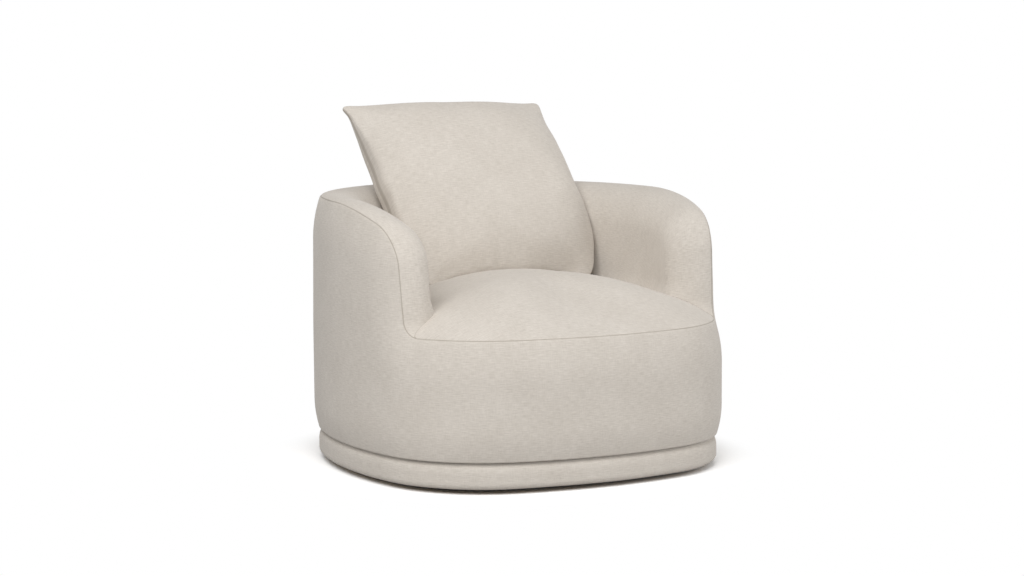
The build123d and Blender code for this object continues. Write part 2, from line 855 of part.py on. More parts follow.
nodes = {
    "swivel_base_board": make_base_board(),
    "floor_glides": make_floor_glides(),
    "glide_screws": make_glide_screws(),
    "lower_swivel_plate": make_lower_plate(),
    "lower_plate_screws": make_lower_plate_screws(),
    "pivot_bolt": make_pivot_bolt(),
    "pivot_washer": make_pivot_washer(),
    "pivot_nut": make_pivot_nut(),
    "ball_cage": make_ball_cage(),
    "bearing_balls": make_bearing_balls(),
    "upper_swivel_plate": make_upper_plate(),
    "upper_plate_screws": make_upper_plate_screws(),
    "swivel_rail_left": make_swivel_rail(-1),
    "swivel_rail_right": make_swivel_rail(1),
    "rail_bolts": make_rail_bolts(),
    "rail_nuts": make_rail_nuts(),
    "bottom_board": make_bottom_board(),
    "dust_cover": make_dust_cover(),
    "band_frame": make_band_frame(),
    "band_foam": make_band_foam(),
    "band_cover": make_band_cover(),
    "band_screws": make_band_screws(),
    "seat_ring": make_seat_ring(),
    "post_screws": make_post_screws(),
    "seat_springs": make_seat_springs(),
    "spring_clips": make_spring_clips(),
    "clip_screws": make_clip_screws(),
    "spring_felt": make_spring_felt(),
    "seat_foam": make_seat_foam(),
    "seat_cover": make_seat_cover(),
    "arm_board_left": make_arm_board(-1),
    "arm_board_right": make_arm_board(1),
    "top_rail": make_top_rail(),
    "top_rail_screws": make_top_rail_screws(),
    "back_webbing": make_back_webbing(),
    "outer_liner": make_outer_liner(),
    "outer_wadding": make_outer_wadding(),
    "outer_cover": make_outer_cover(),
    "inside_foam": make_inside_foam(),
    "inside_cover": make_inside_cover(),
}
for number, angle in enumerate(post_angles, start=1):
    nodes[f"seat_post_{number}"] = make_seat_post(angle)
for number, angle in enumerate(rib_angles, start=1):
    nodes[f"wall_rib_{number}"] = make_wall_rib(angle)
resting_place = pillow_place()
nodes["pillow_fill"] = resting_place * pillow_body(cover_thickness)
nodes["pillow_cover"] = resting_place * (pillow_body(0) - pillow_body(cover_thickness))
write_nodes(nodes)
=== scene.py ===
import json
import math

import bmesh
import bpy
import numpy as np
from bpy.props import FloatProperty, FloatVectorProperty, IntProperty, PointerProperty, StringProperty
from bpy.types import Operator, Panel, PropertyGroup
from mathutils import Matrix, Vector, noise
from mathutils.bvhtree import BVHTree


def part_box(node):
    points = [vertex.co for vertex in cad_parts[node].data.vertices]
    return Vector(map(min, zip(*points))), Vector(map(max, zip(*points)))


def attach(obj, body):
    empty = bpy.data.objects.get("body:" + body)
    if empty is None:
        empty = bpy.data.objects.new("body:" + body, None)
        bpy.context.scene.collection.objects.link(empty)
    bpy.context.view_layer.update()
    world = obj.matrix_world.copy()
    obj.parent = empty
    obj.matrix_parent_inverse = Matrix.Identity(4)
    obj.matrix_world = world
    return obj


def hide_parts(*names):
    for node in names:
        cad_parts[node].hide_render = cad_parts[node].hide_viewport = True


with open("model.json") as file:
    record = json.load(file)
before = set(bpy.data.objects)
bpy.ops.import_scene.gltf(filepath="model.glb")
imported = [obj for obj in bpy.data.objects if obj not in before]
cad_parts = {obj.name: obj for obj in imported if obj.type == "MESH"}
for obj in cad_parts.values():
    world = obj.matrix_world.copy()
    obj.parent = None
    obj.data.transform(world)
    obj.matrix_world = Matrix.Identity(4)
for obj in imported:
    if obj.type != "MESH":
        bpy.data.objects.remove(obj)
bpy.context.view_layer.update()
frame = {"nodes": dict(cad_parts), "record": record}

bl_info = {
    "name": "Upholstered swivel chair",
    "version": (1, 0, 0),
    "blender": (4, 5, 0),
    "location": "3D View > Sidebar > Chair",
    "description": "Covers, pillow, finishes and stage for a swivel tub chair, built round its solid frame",
    "category": "Object",
}

# The solid frame's own boxes, in metres. The chair faces -Y.
tub_low, tub_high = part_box("outer_cover")
band_low, band_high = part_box("band_cover")
pillow_low, pillow_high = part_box("pillow_cover")
MM = 0.001

# Material of all covers
FABRIC = "oatmeal linen weave"

# Seams: the gap between two covers, the width of the dip along it, the width of the painted shade line in
# it, the distance over which a cover's weave knows of it, and how deep a cover's edge tucks in behind it
SEAM_GAP = 0.8 * MM
GROOVE_WIDTH = 1.8 * MM
SHADE_LINE_WIDTH = 2.2 * MM
SEAM_SPAN = 20 * MM
TUCK = 9 * MM

# Where the inside meets the seat and along the pillow's seam, the painted shade line is drawn as if it were
# this much further away, and so paler
CREASE_PALER = 0.7 * MM
PILLOW_SEAM_PALER = 0.9 * MM

# Lip of the outside panel over the base band: its radius, how deep its edge tucks in, and its gap there
LIP = 6 * MM
LIP_TUCK = 7 * MM
LIP_GAP = 1.2 * MM

# Unevenness of sewn covers: depth and size of the soft bumps, and of the small puckers along a seam
UNEVEN = 1.0 * MM
UNEVEN_SIZE = 220 * MM
PUCKER = 0.5 * MM
PUCKER_SIZE = 30 * MM

# Inside panel towards the seat: how far its foot flares and over what height, how far it leans, over what
# height and how late in it, and how far behind the arm fronts the lean starts and in what length it grows
FLARE = 15 * MM
FLARE_REACH = 50 * MM
LEAN = 10 * MM
LEAN_REACH = 200 * MM
LEAN_CURVE = 1.6
LEAN_START = 40 * MM
LEAN_GROWTH = 160 * MM

# Roll of the arms: the length over which it rises from an arm's foot, how fast its radius grows with the
# wall, and the length over which its turn at the nose is evened out
FOOT_LENGTH = 60 * MM
ROLL_GROWTH = 1.2
NOSE_SPAN = 18 * MM

# Seat: cells across its mesh, how they crowd towards the rim, how deep it may lie inside the arms, its least
# thickness, and over what distance from its rim the swelling at an arm's foot grows
SEAT_CELLS = 120
SEAT_CROWDING = 1.7
SEAT_BURIED = 5 * MM
SEAT_EDGE = 6 * MM
FOOT_FADE = 30 * MM

# Base band: points on a rounded edge, and the length of a face across the band
BAND_EDGE_POINTS = 7
BAND_FACE = 4 * MM

# Loose pillow, as cut: cells across its mesh and how they crowd, how full it starts, its thickness along its
# seam, depth and size of the ripples at its sides, how sharply the corners' rounding and the sides' swelling
# end, and how much of the right lower corner's rounding the left one has
PILLOW_CELLS = 64
PILLOW_CROWDING = 0.9
PILLOW_START = 0.92
PILLOW_SEAM = 2.4 * MM
PILLOW_RIPPLE = 3.0 * MM
RIPPLE_SIZE = 55 * MM
CORNER_SHARPNESS = 16
SIDE_END = 4
FREE_CORNER = 0.5

# Loose pillow, as filled: how far it may swell, how often and how strongly it is then smoothed, its room
# over what it rests on, and how deep a point may lie in that and still be pressed out
PILLOW_SWELL = 12 * MM
RELAX_ROUNDS = 30
RELAX_SHARE = 0.5
PILLOW_REST = 1.0 * MM
PRESS_REACH = 90 * MM

# Cloth of the swelling pillow: solver steps, mass of a point in kilograms, and how stiff it is each way
CLOTH = {
    "quality": 6,
    "mass": 0.3,
    "tension_stiffness": 25,
    "compression_stiffness": 20,
    "shear_stiffness": 12,
    "bending_stiffness": 1.0,
}

# How tight the padding is, from 0 to 1
COVER_FILL = 0.9
PILLOW_FILL = 0.7

# Rows of points on the outside panel and round its lip, and on the inside panel from its seam: up the roll,
# crowded towards the seam, over the top, down the roll and on to the seat. Below a rising seam the columns
# spread, by a share of its rise.
PANEL_ROWS = 44
LIP_ROWS = 5
RISE_ROWS = 14
RISE_CROWDING = 1.6
TOP_ROWS = 10
TURN_ROWS = 18
FAN_ROWS = 20
FAN_SHARE = 0.6

# Points at which outlines are measured: half an outline, the seat's rim, and a straight stretch of the seam
OUTLINE_POINTS = 4000
RIM_POINTS = 2000
STRAIGHT_POINTS = 200

# Points of a mesh that are nearer than this become one
WELD = 0.05 * MM

# Light: level of the even light, each lamp's place and size in metres and power in watts, and their aim
WORLD_LEVEL = 0.40
KEY_PLACE = (-2.3, -2.5, 3.4)
KEY_SIZE = 3.4
KEY_POWER = 149.0
FILL_PLACE = (3.6, -2.5, 1.5)
FILL_SIZE = 3.0
FILL_POWER = 56.0
LAMP_AIM = (0.0, 0.0, 0.4)
WHITE = (1.0, 1.0, 1.0, 1.0)

# Floor: half its width, its paint, how bright it is seen near the chair, and where that turns to plain white
FLOOR_REACH = 12.0
FLOOR_PAINT = "#C6C6C6"
FLOOR_GAIN = 1.35
SHADOW_START = 0.50
SHADOW_END = 0.64

# Camera: width of its sensor in millimetres, and how far it sees in metres
SENSOR_WIDTH = 36.0
SIGHT = 100.0

# Distance between two bands of a wave pattern of scale 1
WAVE_SPACING = math.pi / 10

# A quarter turn
QUARTER = math.pi / 2


def length(name, description, default):
    """A size of the chair that a user may change."""
    return FloatProperty(name=name, description=description, default=default, unit="LENGTH", precision=4)


def angle(name, description, degrees):
    """An angle of the chair, given in degrees."""
    return FloatProperty(name=name, description=description, default=math.radians(degrees), subtype="ANGLE")


def plain(name, description, default):
    """A number that is no length or angle."""
    return FloatProperty(name=name, description=description, default=default)


def tint(name, description, default):
    """A colour of the chair, written as an sRGB hex value."""
    return StringProperty(name=name, description=description, default=default)


class ChairForm(PropertyGroup):
    """Sizes of the upholstery."""

    front_radius: length("Front radius", "Curve of the front, seen from above", 1.026)
    front_corner_radius: length("Front corner radius", "Curve of the front corners", 0.303)
    side_radius: length("Side radius", "Curve of the sides", 0.847)
    rear_corner_radius: length("Rear corner radius", "Curve of the rear corners", 0.406)
    back_radius: length("Back radius", "Curve of the back", 0.538)
    widest_y: length("Widest place", "Where the chair is widest, front to back", -0.055)
    arm_thickness: length("Arm thickness", "From the outside of an arm to its inside", 0.113)
    back_thickness: length("Back thickness", "From the outside of the back to its inside", 0.185)
    side_thickness: length("Side thickness", "Arm thickness where the chair is widest", 0.137)
    inner_corner_radius: length("Inner corner radius", "Curve of the inside behind the front seam", 0.100)
    inner_side_radius: length("Inner side radius", "Long curve of the inside of the arms", 1.500)
    inner_rear_radius: length("Inner rear radius", "Curve of the inner rear corners", 0.300)
    inner_back_radius: length("Inner back radius", "Curve of the inside of the back", 0.520)
    seat_seam: length("Seat seam", "Height of the seam along the front", 0.359)
    wall_crown: length("Wall crown", "How far the top of the arms stands over its seam", 0.0064)
    arm_front: length("Arm front", "Where the arm fronts stand, front to back", -0.277)
    arm_lean: angle("Arm lean", "How far the arm fronts lean back", 6)
    foot_radius: length("Foot radius", "Curve from the front seam into the arm front", 0.041)
    nose_radius: length("Nose radius", "Curve over the front of an arm", 0.118)
    top_radius: length("Top radius", "Long curve of the arm's top", 0.734)
    crest_y: length("Crest", "Where the arm reaches its full height", 0.046)
    inner_roll: length("Inner roll", "Radius of the rolled section at the arm fronts", 0.068)
    largest_roll: length("Largest roll", "Radius of the rolled section where the wall is thick", 0.100)
    roll_tilt: angle("Roll tilt", "Turn of the roll at its seam", 25)
    seam_inset: length("Seam inset", "How far the seam lies inside the widest outline", 0.019)
    groove: length("Seam groove", "How deep the covers dip at a seam", 0.0022)
    puff_reach: length("Puff reach", "How far from the seam the outer panel starts to draw in", 0.107)
    lower_reach: length("Lower reach", "How far over the groove the outer panel draws in", 0.075)
    lower_draw: length("Lower draw-in", "How far the outer panel draws in at the groove", 0.012)
    cover_wall: length("Cover thickness", "Fabric with the wadding that is sewn to it", 0.003)
    lean_top: length("Lean top", "Height from which the inside leans towards the seat", 0.600)
    flare_top: length("Flare top", "Height from which the inside spreads towards the seat", 0.450)
    seat_base: length("Seat base", "Where the inside panel ends under the seat", 0.305)
    step: length("Mesh step", "Length of one face along a seam", 0.006)
    band_wall: length("Band thickness", "Depth of the padding on the base band", 0.014)
    band_round: length("Band rounding", "Radius of the base band's edges", 0.0132)
    band_draw: length("Band draw-in", "How far the foot of the base band curves in", 0.008)
    band_draw_reach: length("Band draw reach", "Height over which the band's foot curves in", 0.028)
    seat_crown: length("Seat crown", "Height of the seat's highest place", 0.476)
    seat_apex: length("Seat apex", "Where the seat is highest, front to back", -0.100)
    seat_rounding: plain("Seat rounding", "Larger is rounder on top", 0.5)
    corner_fullness: plain("Corner fullness", "How much fuller the seat is towards its front corners", 0.55)
    seat_dip: length("Seat dip", "How far the seat goes down behind its crest", 0.020)
    dip_start: length("Dip start", "Where the seat starts to go down, front to back", 0.020)
    dip_reach: length("Dip reach", "Over what length the seat goes down", 0.070)
    foot_rise: length("Foot rise", "How far the seat swells up at an arm's foot", 0.008)
    foot_reach: length("Foot reach", "How far that swelling reaches over the seat", 0.070)
    seat_bottom: length("Seat bottom", "Height of the seat pad's underside", 0.322)
    pillow_width: length("Pillow width", "Across the pillow at its upper corners", 0.606)
    pillow_height: length("Pillow height", "Along the pillow's lean", 0.574)
    pillow_thickness: length("Pillow thickness", "At the fullest place", 0.172)
    pillow_draw_in: length("Pillow draw-in", "How far the side seams pull in between the corners", 0.022)
    pillow_top_draw: length("Pillow top draw-in", "How far the upper seam pulls in", 0.016)
    pillow_foot_draw: length("Pillow foot draw-in", "How far the lower seam pulls in", 0.035)
    pillow_draw_reach: length("Pillow draw reach", "How far from a corner a seam has pulled in", 0.040)
    pillow_corner: length("Pillow corner", "How far a corner's point is rounded off", 0.018)
    pillow_foot_round: length("Foot rounding", "How high up the lower corners start to round", 0.200)
    pillow_foot_narrow: length("Foot narrowing", "How far the lower corners come in at the foot", 0.120)
    pillow_overhang: length("Pillow overhang", "How far the front swells out past a side seam", 0.006)
    pillow_overhang_reach: length("Overhang reach", "Where it swells out most, from the seam", 0.020)
    pillow_fullness: plain("Pillow fullness", "Larger is fuller at the edges", 3.2)
    pillow_foot_fullness: plain("Foot fullness", "The same for the half that turns under to the seat", 1.8)
    pillow_flat_corner: plain("Flat corners", "Share of the thickness that the corners lack", 0.75)
    pillow_corner_reach: length("Flat corner reach", "How far a flat corner reaches into the pillow", 0.120)
    pillow_sink: length("Pillow sink", "How far the pillow's own weight lowers its middle", 0.027)
    pillow_skew: length("Pillow skew", "How far the pillow's foot lies to the right of its top", 0.056)
    pillow_aside: length("Pillow aside", "How far the pillow lies to the right of the middle", 0.025)
    pillow_drop: length("Pillow drop", "How far the pillow's right side hangs lower than its left", 0.006)
    pillow_lean: angle("Pillow lean", "How far the pillow leans back", 35)
    pressure: plain("Filling pressure", "Air pressure that swells the pillow", 4.0)
    settle_frames: IntProperty(name="Settling steps", description="Steps of the simulation", default=20)


class ChairFinish(PropertyGroup):
    """Colours of the fabric, and of the shade painted along its seams."""

    weave_light: tint("Weave, light", "Light threads of the fabric", "#D9D2C9")
    weave_dark: tint("Weave, dark", "Dark slubs of the fabric", "#C3BBB1")
    # Painted shade: the colour a thin line along each seam and crease darkens to
    painted_seam_shade: tint("Seam shade", "Fabric where it turns under in a seam", "#A0978B")


class ChairStage(PropertyGroup):
    """Place, aim and lens of the camera."""

    camera_place: FloatVectorProperty(
        name="Camera place",
        description="Where the camera stands",
        default=(-3.08648, -5.70339, 1.16229),
        unit="LENGTH",
    )
    camera_aim: FloatVectorProperty(
        name="Camera aim",
        description="What the camera looks at",
        default=(-0.004746, -0.027908, 0.426155),
        unit="LENGTH",
    )
    lens: plain("Lens", "Focal length in millimetres", 92.677)


class Plan:
    """An outline seen from above: tangent arcs from the front centre round the right side to the back."""

    def __init__(self, half, front, back, widest, radii):
        front_radius, corner_radius, side_radius, rear_radius, back_radius = radii
        front_center = np.array((0.0, front + front_radius))
        side_center = np.array((half - side_radius, widest))
        back_center = np.array((0.0, back - back_radius))
        corner_center = circles_meet(
            front_center, front_radius - corner_radius, side_center, side_radius - corner_radius, -1.0
        )
        rear_center = circles_meet(
            side_center, side_radius - rear_radius, back_center, back_radius - rear_radius, 1.0
        )
        self.centers = np.array((front_center, corner_center, side_center, rear_center, back_center))
        self.radii = np.array(radii)
        # Two arcs touch on the line through their centres
        headings = (
            corner_center - front_center,
            corner_center - side_center,
            rear_center - side_center,
            rear_center - back_center,
        )
        self.turns = np.array([-QUARTER, *(math.atan2(y, x) for x, y in headings), QUARTER])
        self.starts = np.concatenate(((0.0,), np.cumsum(self.radii * np.diff(self.turns))))
        self.length = self.starts[-1]

    def at(self, run, inset):
        """Points of the drawn-in outline at distances from its front centre, negative on the left."""
        run = np.asarray(run, float)
        side = np.where(run < 0, -1.0, 1.0)
        along = np.minimum(np.abs(run), self.length)
        arc = np.clip(np.searchsorted(self.starts, along, side="right") - 1, 0, len(self.radii) - 1)
        turn = self.turns[arc] + (along - self.starts[arc]) / self.radii[arc]
        reach = self.radii[arc] - inset
        x = side * (self.centers[arc, 0] + reach * np.cos(turn))
        y = self.centers[arc, 1] + reach * np.sin(turn)
        return x, y

    def run_at(self, y, inset):
        """Distance along the right side of the drawn-in outline to a cross line."""
        runs = np.linspace(0.0, self.length, OUTLINE_POINTS)
        return np.interp(y, self.at(runs, inset)[1], runs)


def circles_meet(first, first_radius, second, second_radius, toward_y):
    """Crossing of two circles in plan, on the right and towards the given end of the chair."""
    run = second - first
    distance = np.hypot(*run)
    along = (first_radius**2 - second_radius**2 + distance**2) / (2 * distance)
    aside = math.sqrt(first_radius**2 - along**2)
    direction = run / distance
    across = np.array((-direction[1], direction[0]))
    crossings = [first + direction * along + across * way for way in (aside, -aside)]
    return max(crossings, key=lambda point: point[0] + toward_y * point[1])


def outer_plan(form):
    """Outline of the chair's outside."""
    radii = (
        form.front_radius,
        form.front_corner_radius,
        form.side_radius,
        form.rear_corner_radius,
        form.back_radius,
    )
    return Plan(tub_high.x, tub_low.y, tub_high.y, form.widest_y, radii)


def inner_plan(form):
    """Outline of the inside of the arms and back."""
    thick = form.arm_thickness
    radii = (
        form.front_radius - thick,
        form.inner_corner_radius,
        form.inner_side_radius,
        form.inner_rear_radius,
        form.inner_back_radius,
    )
    half = tub_high.x - form.side_thickness
    return Plan(half, tub_low.y + thick, tub_high.y - form.back_thickness, form.widest_y, radii)


def arc_points(center, radius, start, end, step):
    """Points along an arc, with the angle of each."""
    angles = np.linspace(start, end, max(3, int(abs(end - start) * radius / step) + 2))
    return center[0] + radius * np.cos(angles), center[1] + radius * np.sin(angles), angles


class SeamPath:
    """The seam round the outside, on the unrolled outline: run, height and how far the edge faces forward.

    It goes along the front, up the arm front, over the nose and along the top to the middle of the back.
    """

    def __init__(self, form):
        plan = outer_plan(form)
        low = form.seat_seam
        high = tub_high.z - form.wall_crown
        # The arm from the side: a foot that rounds out of the seam, a leaning front, a nose and a long top
        rise = np.array((math.sin(form.arm_lean), math.cos(form.arm_lean)))
        inward = np.array((math.cos(form.arm_lean), -math.sin(form.arm_lean)))
        start = np.array((form.arm_front, low))
        foot_center = start - inward * form.foot_radius
        foot_center = foot_center + rise * ((low + form.foot_radius - foot_center[1]) / rise[1])
        top_center = np.array((form.crest_y, high - form.top_radius))
        nose_line = start + inward * form.nose_radius
        to_line = nose_line - top_center
        along = to_line @ rise
        reach = form.top_radius - form.nose_radius
        nose_center = nose_line + rise * (math.sqrt(along**2 - to_line @ to_line + reach**2) - along)
        upper = math.atan2(nose_center[1] - top_center[1], nose_center[0] - top_center[0])
        fine = form.step / 4
        foot = arc_points(foot_center, form.foot_radius, -QUARTER, -form.arm_lean, fine)
        nose = arc_points(nose_center, form.nose_radius, math.pi - form.arm_lean, upper, fine)
        top = arc_points(top_center, form.top_radius, upper, QUARTER, fine)
        y = np.concatenate((foot[0], nose[0], top[0]))
        z = np.concatenate((foot[1], nose[1], top[1]))
        facing = np.concatenate((foot[2] + QUARTER, nose[2] - QUARTER, top[2] - QUARTER))
        # On the unrolled outline, with the level stretches before the arm's foot and behind its crest
        run = plan.run_at(y, form.seam_inset)
        front = np.linspace(0.0, run[0], STRAIGHT_POINTS)[:-1]
        back = np.linspace(run[-1], plan.length, STRAIGHT_POINTS)[1:]
        run = np.concatenate((front, run, back))
        z = np.concatenate((np.full_like(front, low), z, np.full_like(back, high)))
        facing = np.concatenate((np.zeros_like(front), facing, np.zeros_like(back)))
        # Points at even steps along the whole seam
        way = np.concatenate(((0.0,), np.cumsum(np.hypot(np.diff(run), np.diff(z)))))
        count = int(way[-1] / form.step)
        even = np.linspace(0.0, way[-1], count)
        self.run = np.interp(even, way, run)
        self.z = np.interp(even, way, z)
        self.facing = np.interp(even, way, facing)
        self.foot = int(np.searchsorted(self.run, front[-1]))
        self.way = even

    def distance(self, run, z):
        """Distance of points on the unrolled outline from the seam."""
        nearest = np.full(run.shape, np.inf)
        for seam_run, seam_z in zip(self.run, self.z):
            nearest = np.minimum(nearest, (run - seam_run) ** 2 + (z - seam_z) ** 2)
        return np.sqrt(nearest)


def spread(run, rise, share):
    """Places along the lower edge of a panel that its columns fan out to, as shares of the whole."""
    steps = np.abs(np.diff(run)) + share * np.abs(np.diff(rise))
    places = np.concatenate(((0.0,), np.cumsum(steps)))
    return places / places[-1]


def averaged(values, span):
    """Values smoothed twice over a span of neighbours, with level ends."""
    span = span // 2 * 2 + 1
    weights = np.ones(span) / span
    for _ in range(2):
        longer = np.pad(values, span // 2, mode="edge")
        values = np.convolve(longer, weights, mode="valid")
    return values


def eased(share):
    """A share, held between 0 and 1, that leaves the one and reaches the other gently."""
    share = np.clip(share, 0.0, 1.0)
    return share**2 * (3 - 2 * share)


def soft_noise(x, y, z, size):
    """Smooth unevenness from -1 to 1 with bumps of about the given size."""
    flat = np.stack((np.ravel(x), np.ravel(y), np.ravel(z)), axis=1) / size
    values = np.array([noise.noise(Vector(point)) for point in flat])
    return values.reshape(np.shape(x))


def store(mesh, name, values):
    """Keeps one number for each point of a mesh."""
    layer = mesh.attributes.new(name, "FLOAT", "POINT")
    layer.data.foreach_set("value", np.ravel(values).astype(np.float32))


def cells_of(columns, rows, kept=None):
    """Faces of a grid of points, first index along and second across: all of them, or the ones kept."""
    index = np.arange(columns * rows).reshape(columns, rows)
    corners = (index[:-1, :-1], index[1:, :-1], index[1:, 1:], index[:-1, 1:])
    if kept is None:
        kept = np.ones((columns - 1, rows - 1), bool)
    return np.stack([corner[kept] for corner in corners], axis=1)


def new_mesh(name, points, faces, uv):
    """A mesh with its own UV map in metres."""
    mesh = bpy.data.meshes.new(name)
    mesh.from_pydata(points.reshape(-1, 3).tolist(), [], faces.tolist())
    layer = mesh.uv_layers.new(name="UVMap")
    layer.data.foreach_set("uv", uv.reshape(-1, 2)[faces.ravel()].astype(np.float32).ravel())
    return mesh


def near_seam(distance):
    """One on a seam and falling evenly to zero, so that a thin line of painted shade shows between points
    far apart.

    Beyond a seam, where the distance is negative, it goes on rising to two.
    """
    return np.clip(1 - distance / SEAM_SPAN, 0.0, 2.0)


def sheet_mesh(name, points, uv, seam, cross_grain=0.0):
    """A grid of points as a mesh, with how near each point is to a seam and how far its weave is turned."""
    mesh = new_mesh(name, points, cells_of(*points.shape[:2]), uv)
    store(mesh, "seam", seam)
    store(mesh, "cross_grain", np.broadcast_to(cross_grain, seam.shape))
    return mesh


def closed_pad(name, top, bottom, uv, kept=None):
    """Two grids, joined round the rim of the cells that are kept, as one closed mesh."""
    columns, rows = top.shape[:2]
    count = columns * rows
    cells = cells_of(columns, rows, kept)
    edges = np.concatenate([cells[:, [i, (i + 1) % 4]] for i in range(4)])
    forward = edges[:, 0] * count + edges[:, 1]
    backward = edges[:, 1] * count + edges[:, 0]
    first, second = edges[~np.isin(forward, backward)].T
    rim = np.stack((second, first, first + count, second + count), axis=1)
    faces = np.concatenate((cells, cells[:, ::-1] + count, rim))
    points = np.concatenate((top.reshape(-1, 3), bottom.reshape(-1, 3)))
    return new_mesh(name, points, faces, np.concatenate((uv, uv)))


def joined(*arrays):
    """Grids side by side across their rows."""
    return np.concatenate(arrays, axis=1)


def make_object(name, mesh, outward):
    """Welds a mesh, turns its faces to the outward side of each place and links it as an object.

    For a closed piece the place itself will do as its outward direction.
    """
    work = bmesh.new()
    work.from_mesh(mesh)
    loose = [point for point in work.verts if not point.link_faces]
    bmesh.ops.delete(work, geom=loose, context="VERTS")
    bmesh.ops.remove_doubles(work, verts=work.verts, dist=WELD)
    bmesh.ops.recalc_face_normals(work, faces=work.faces)
    outwardness = 0.0
    for face in work.faces:
        outwardness += face.normal.dot(outward(face.calc_center_median())) * face.calc_area()
    if outwardness < 0:
        bmesh.ops.reverse_faces(work, faces=work.faces)
    for face in work.faces:
        face.smooth = True
    work.to_mesh(mesh)
    work.free()
    obj = bpy.data.objects.new(name, mesh)
    bpy.context.scene.collection.objects.link(obj)
    return obj


def thicken(obj, thickness):
    """Gives a cover its wall, inwards."""
    wall = obj.modifiers.new("Wall", "SOLIDIFY")
    wall.thickness = thickness
    wall.offset = -1.0
    wall.use_even_offset = False


def from_axis(point):
    """Direction away from the middle of the chair."""
    return Vector((point.x, point.y, 0.0))


def upward(point):
    """Direction for pieces that face up."""
    return Vector((0.0, 0.0, 1.0))


def settle(obj, pressure, frames, most):
    """Swells a closed pad by cloth simulation, keeps the result and moves no point further than most."""
    scene = bpy.context.scene
    start = coordinates(obj)
    cloth = obj.modifiers.new("Cloth", "CLOTH")
    for name, value in CLOTH.items():
        setattr(cloth.settings, name, value)
    cloth.settings.use_pressure = True
    cloth.settings.uniform_pressure_force = pressure
    cloth.settings.effector_weights.gravity = 0
    cloth.point_cache.frame_start = 1
    cloth.point_cache.frame_end = frames
    for number in range(1, frames + 1):
        scene.frame_set(number)
    move = coordinates(obj.evaluated_get(bpy.context.evaluated_depsgraph_get())) - start
    obj.modifiers.remove(cloth)
    scene.frame_set(1)
    size = np.linalg.norm(move, axis=1, keepdims=True)
    move *= most / np.maximum(size, most)
    move_to(obj, start + move)


def linear(code):
    """An sRGB hex value as a linear colour."""
    values = [int(code[i : i + 2], 16) / 255 for i in (1, 3, 5)]
    straight = [v / 12.92 if v <= 0.04045 else ((v + 0.055) / 1.055) ** 2.4 for v in values]
    return (*straight, 1.0)


def add(tree, kind, links=None, **settings):
    """Adds a node, sets its properties and sockets, and links its inputs."""
    node = tree.nodes.new(kind)
    for key, value in settings.items():
        if hasattr(node, key):
            setattr(node, key, value)
        else:
            node.inputs[key].default_value = value
    for key, source in (links or {}).items():
        tree.links.new(source, node.inputs[key])
    return node


def new_material(name):
    """An empty node material with its output."""
    material = bpy.data.materials.new(name)
    material.use_nodes = True
    material.node_tree.nodes.clear()
    return material, material.node_tree, material.node_tree.nodes.new("ShaderNodeOutputMaterial")


def threads(tree, place, long, wide):
    """Pattern of threads, by the length and width of one in metres."""
    scale = (1 / long, 1 / wide, 1 / wide)
    spaced = add(tree, "ShaderNodeMapping", {"Vector": place}, Scale=scale).outputs["Vector"]
    marks = add(tree, "ShaderNodeTexNoise", {"Vector": spaced}, Scale=1.0, Detail=2.0, Roughness=0.6)
    return marks.outputs["Fac"]


def linen_material(finish):
    """Linen-look upholstery weave: matt, with flat slubs, a faint cross thread and a soft sheen."""
    material, tree, output = new_material(FABRIC)
    uv = add(tree, "ShaderNodeUVMap", uv_map="UVMap").outputs["UV"]
    # Slubs along the width, about 20 mm long and 2.2 mm high: coarser than the real ones, so that they show
    slub = threads(tree, uv, 20 * MM, 2.2 * MM)
    cross = threads(tree, uv, 2.8 * MM, 16 * MM)
    turned = add(tree, "ShaderNodeAttribute", attribute_name="cross_grain").outputs["Fac"]
    # Slubs show most along the weave, and cross threads where the weave is turned
    lengthwise, crosswise = (
        add(tree, "ShaderNodeMix", {"A": most, "B": least}, data_type="FLOAT", Factor=0.3).outputs["Result"]
        for most, least in ((slub, cross), (cross, slub))
    )
    thread = add(
        tree, "ShaderNodeMix", {"Factor": turned, "A": lengthwise, "B": crosswise}, data_type="FLOAT"
    ).outputs["Result"]
    # Broad patches of 120 mm, where the dye took a little differently
    patch = threads(tree, uv, 120 * MM, 120 * MM)
    mixed = add(
        tree, "ShaderNodeMix", {"A": thread, "B": patch}, data_type="FLOAT", Factor=0.2
    ).outputs["Result"]
    # The pattern stays near its middle value, so that stretch is drawn out to the full range of colour
    shade = add(
        tree, "ShaderNodeMapRange", {"Value": mixed}, **{"From Min": 0.35, "From Max": 0.65}
    ).outputs["Result"]
    weave = add(
        tree,
        "ShaderNodeMix",
        {"Factor": shade},
        data_type="RGBA",
        A=linear(finish.weave_dark),
        B=linear(finish.weave_light),
    ).outputs["Result"]
    # Shade is painted along seams and creases: there the colour darkens to the seam shade over a thin line
    seam = add(tree, "ShaderNodeAttribute", attribute_name="seam").outputs["Fac"]
    painted_shade = add(
        tree,
        "ShaderNodeMapRange",
        {"Value": seam},
        interpolation_type="SMOOTHSTEP",
        **{"From Min": 1 - SHADE_LINE_WIDTH / SEAM_SPAN},
    ).outputs["Result"]
    colour = add(
        tree, "ShaderNodeMix", {"Factor": painted_shade, "A": weave}, data_type="RGBA", B=linear(finish.painted_seam_shade)
    ).outputs["Result"]
    bump = add(tree, "ShaderNodeBump", {"Height": thread}, Strength=0.5, Distance=0.5 * MM).outputs["Normal"]
    skin = add(
        tree,
        "ShaderNodeBsdfPrincipled",
        {"Base Color": colour, "Normal": bump},
        **{"Roughness": 0.9, "Sheen Weight": 0.15, "Sheen Roughness": 0.5, "Specular IOR Level": 0.25},
    )
    tree.links.new(skin.outputs["BSDF"], output.inputs["Surface"])
    return material


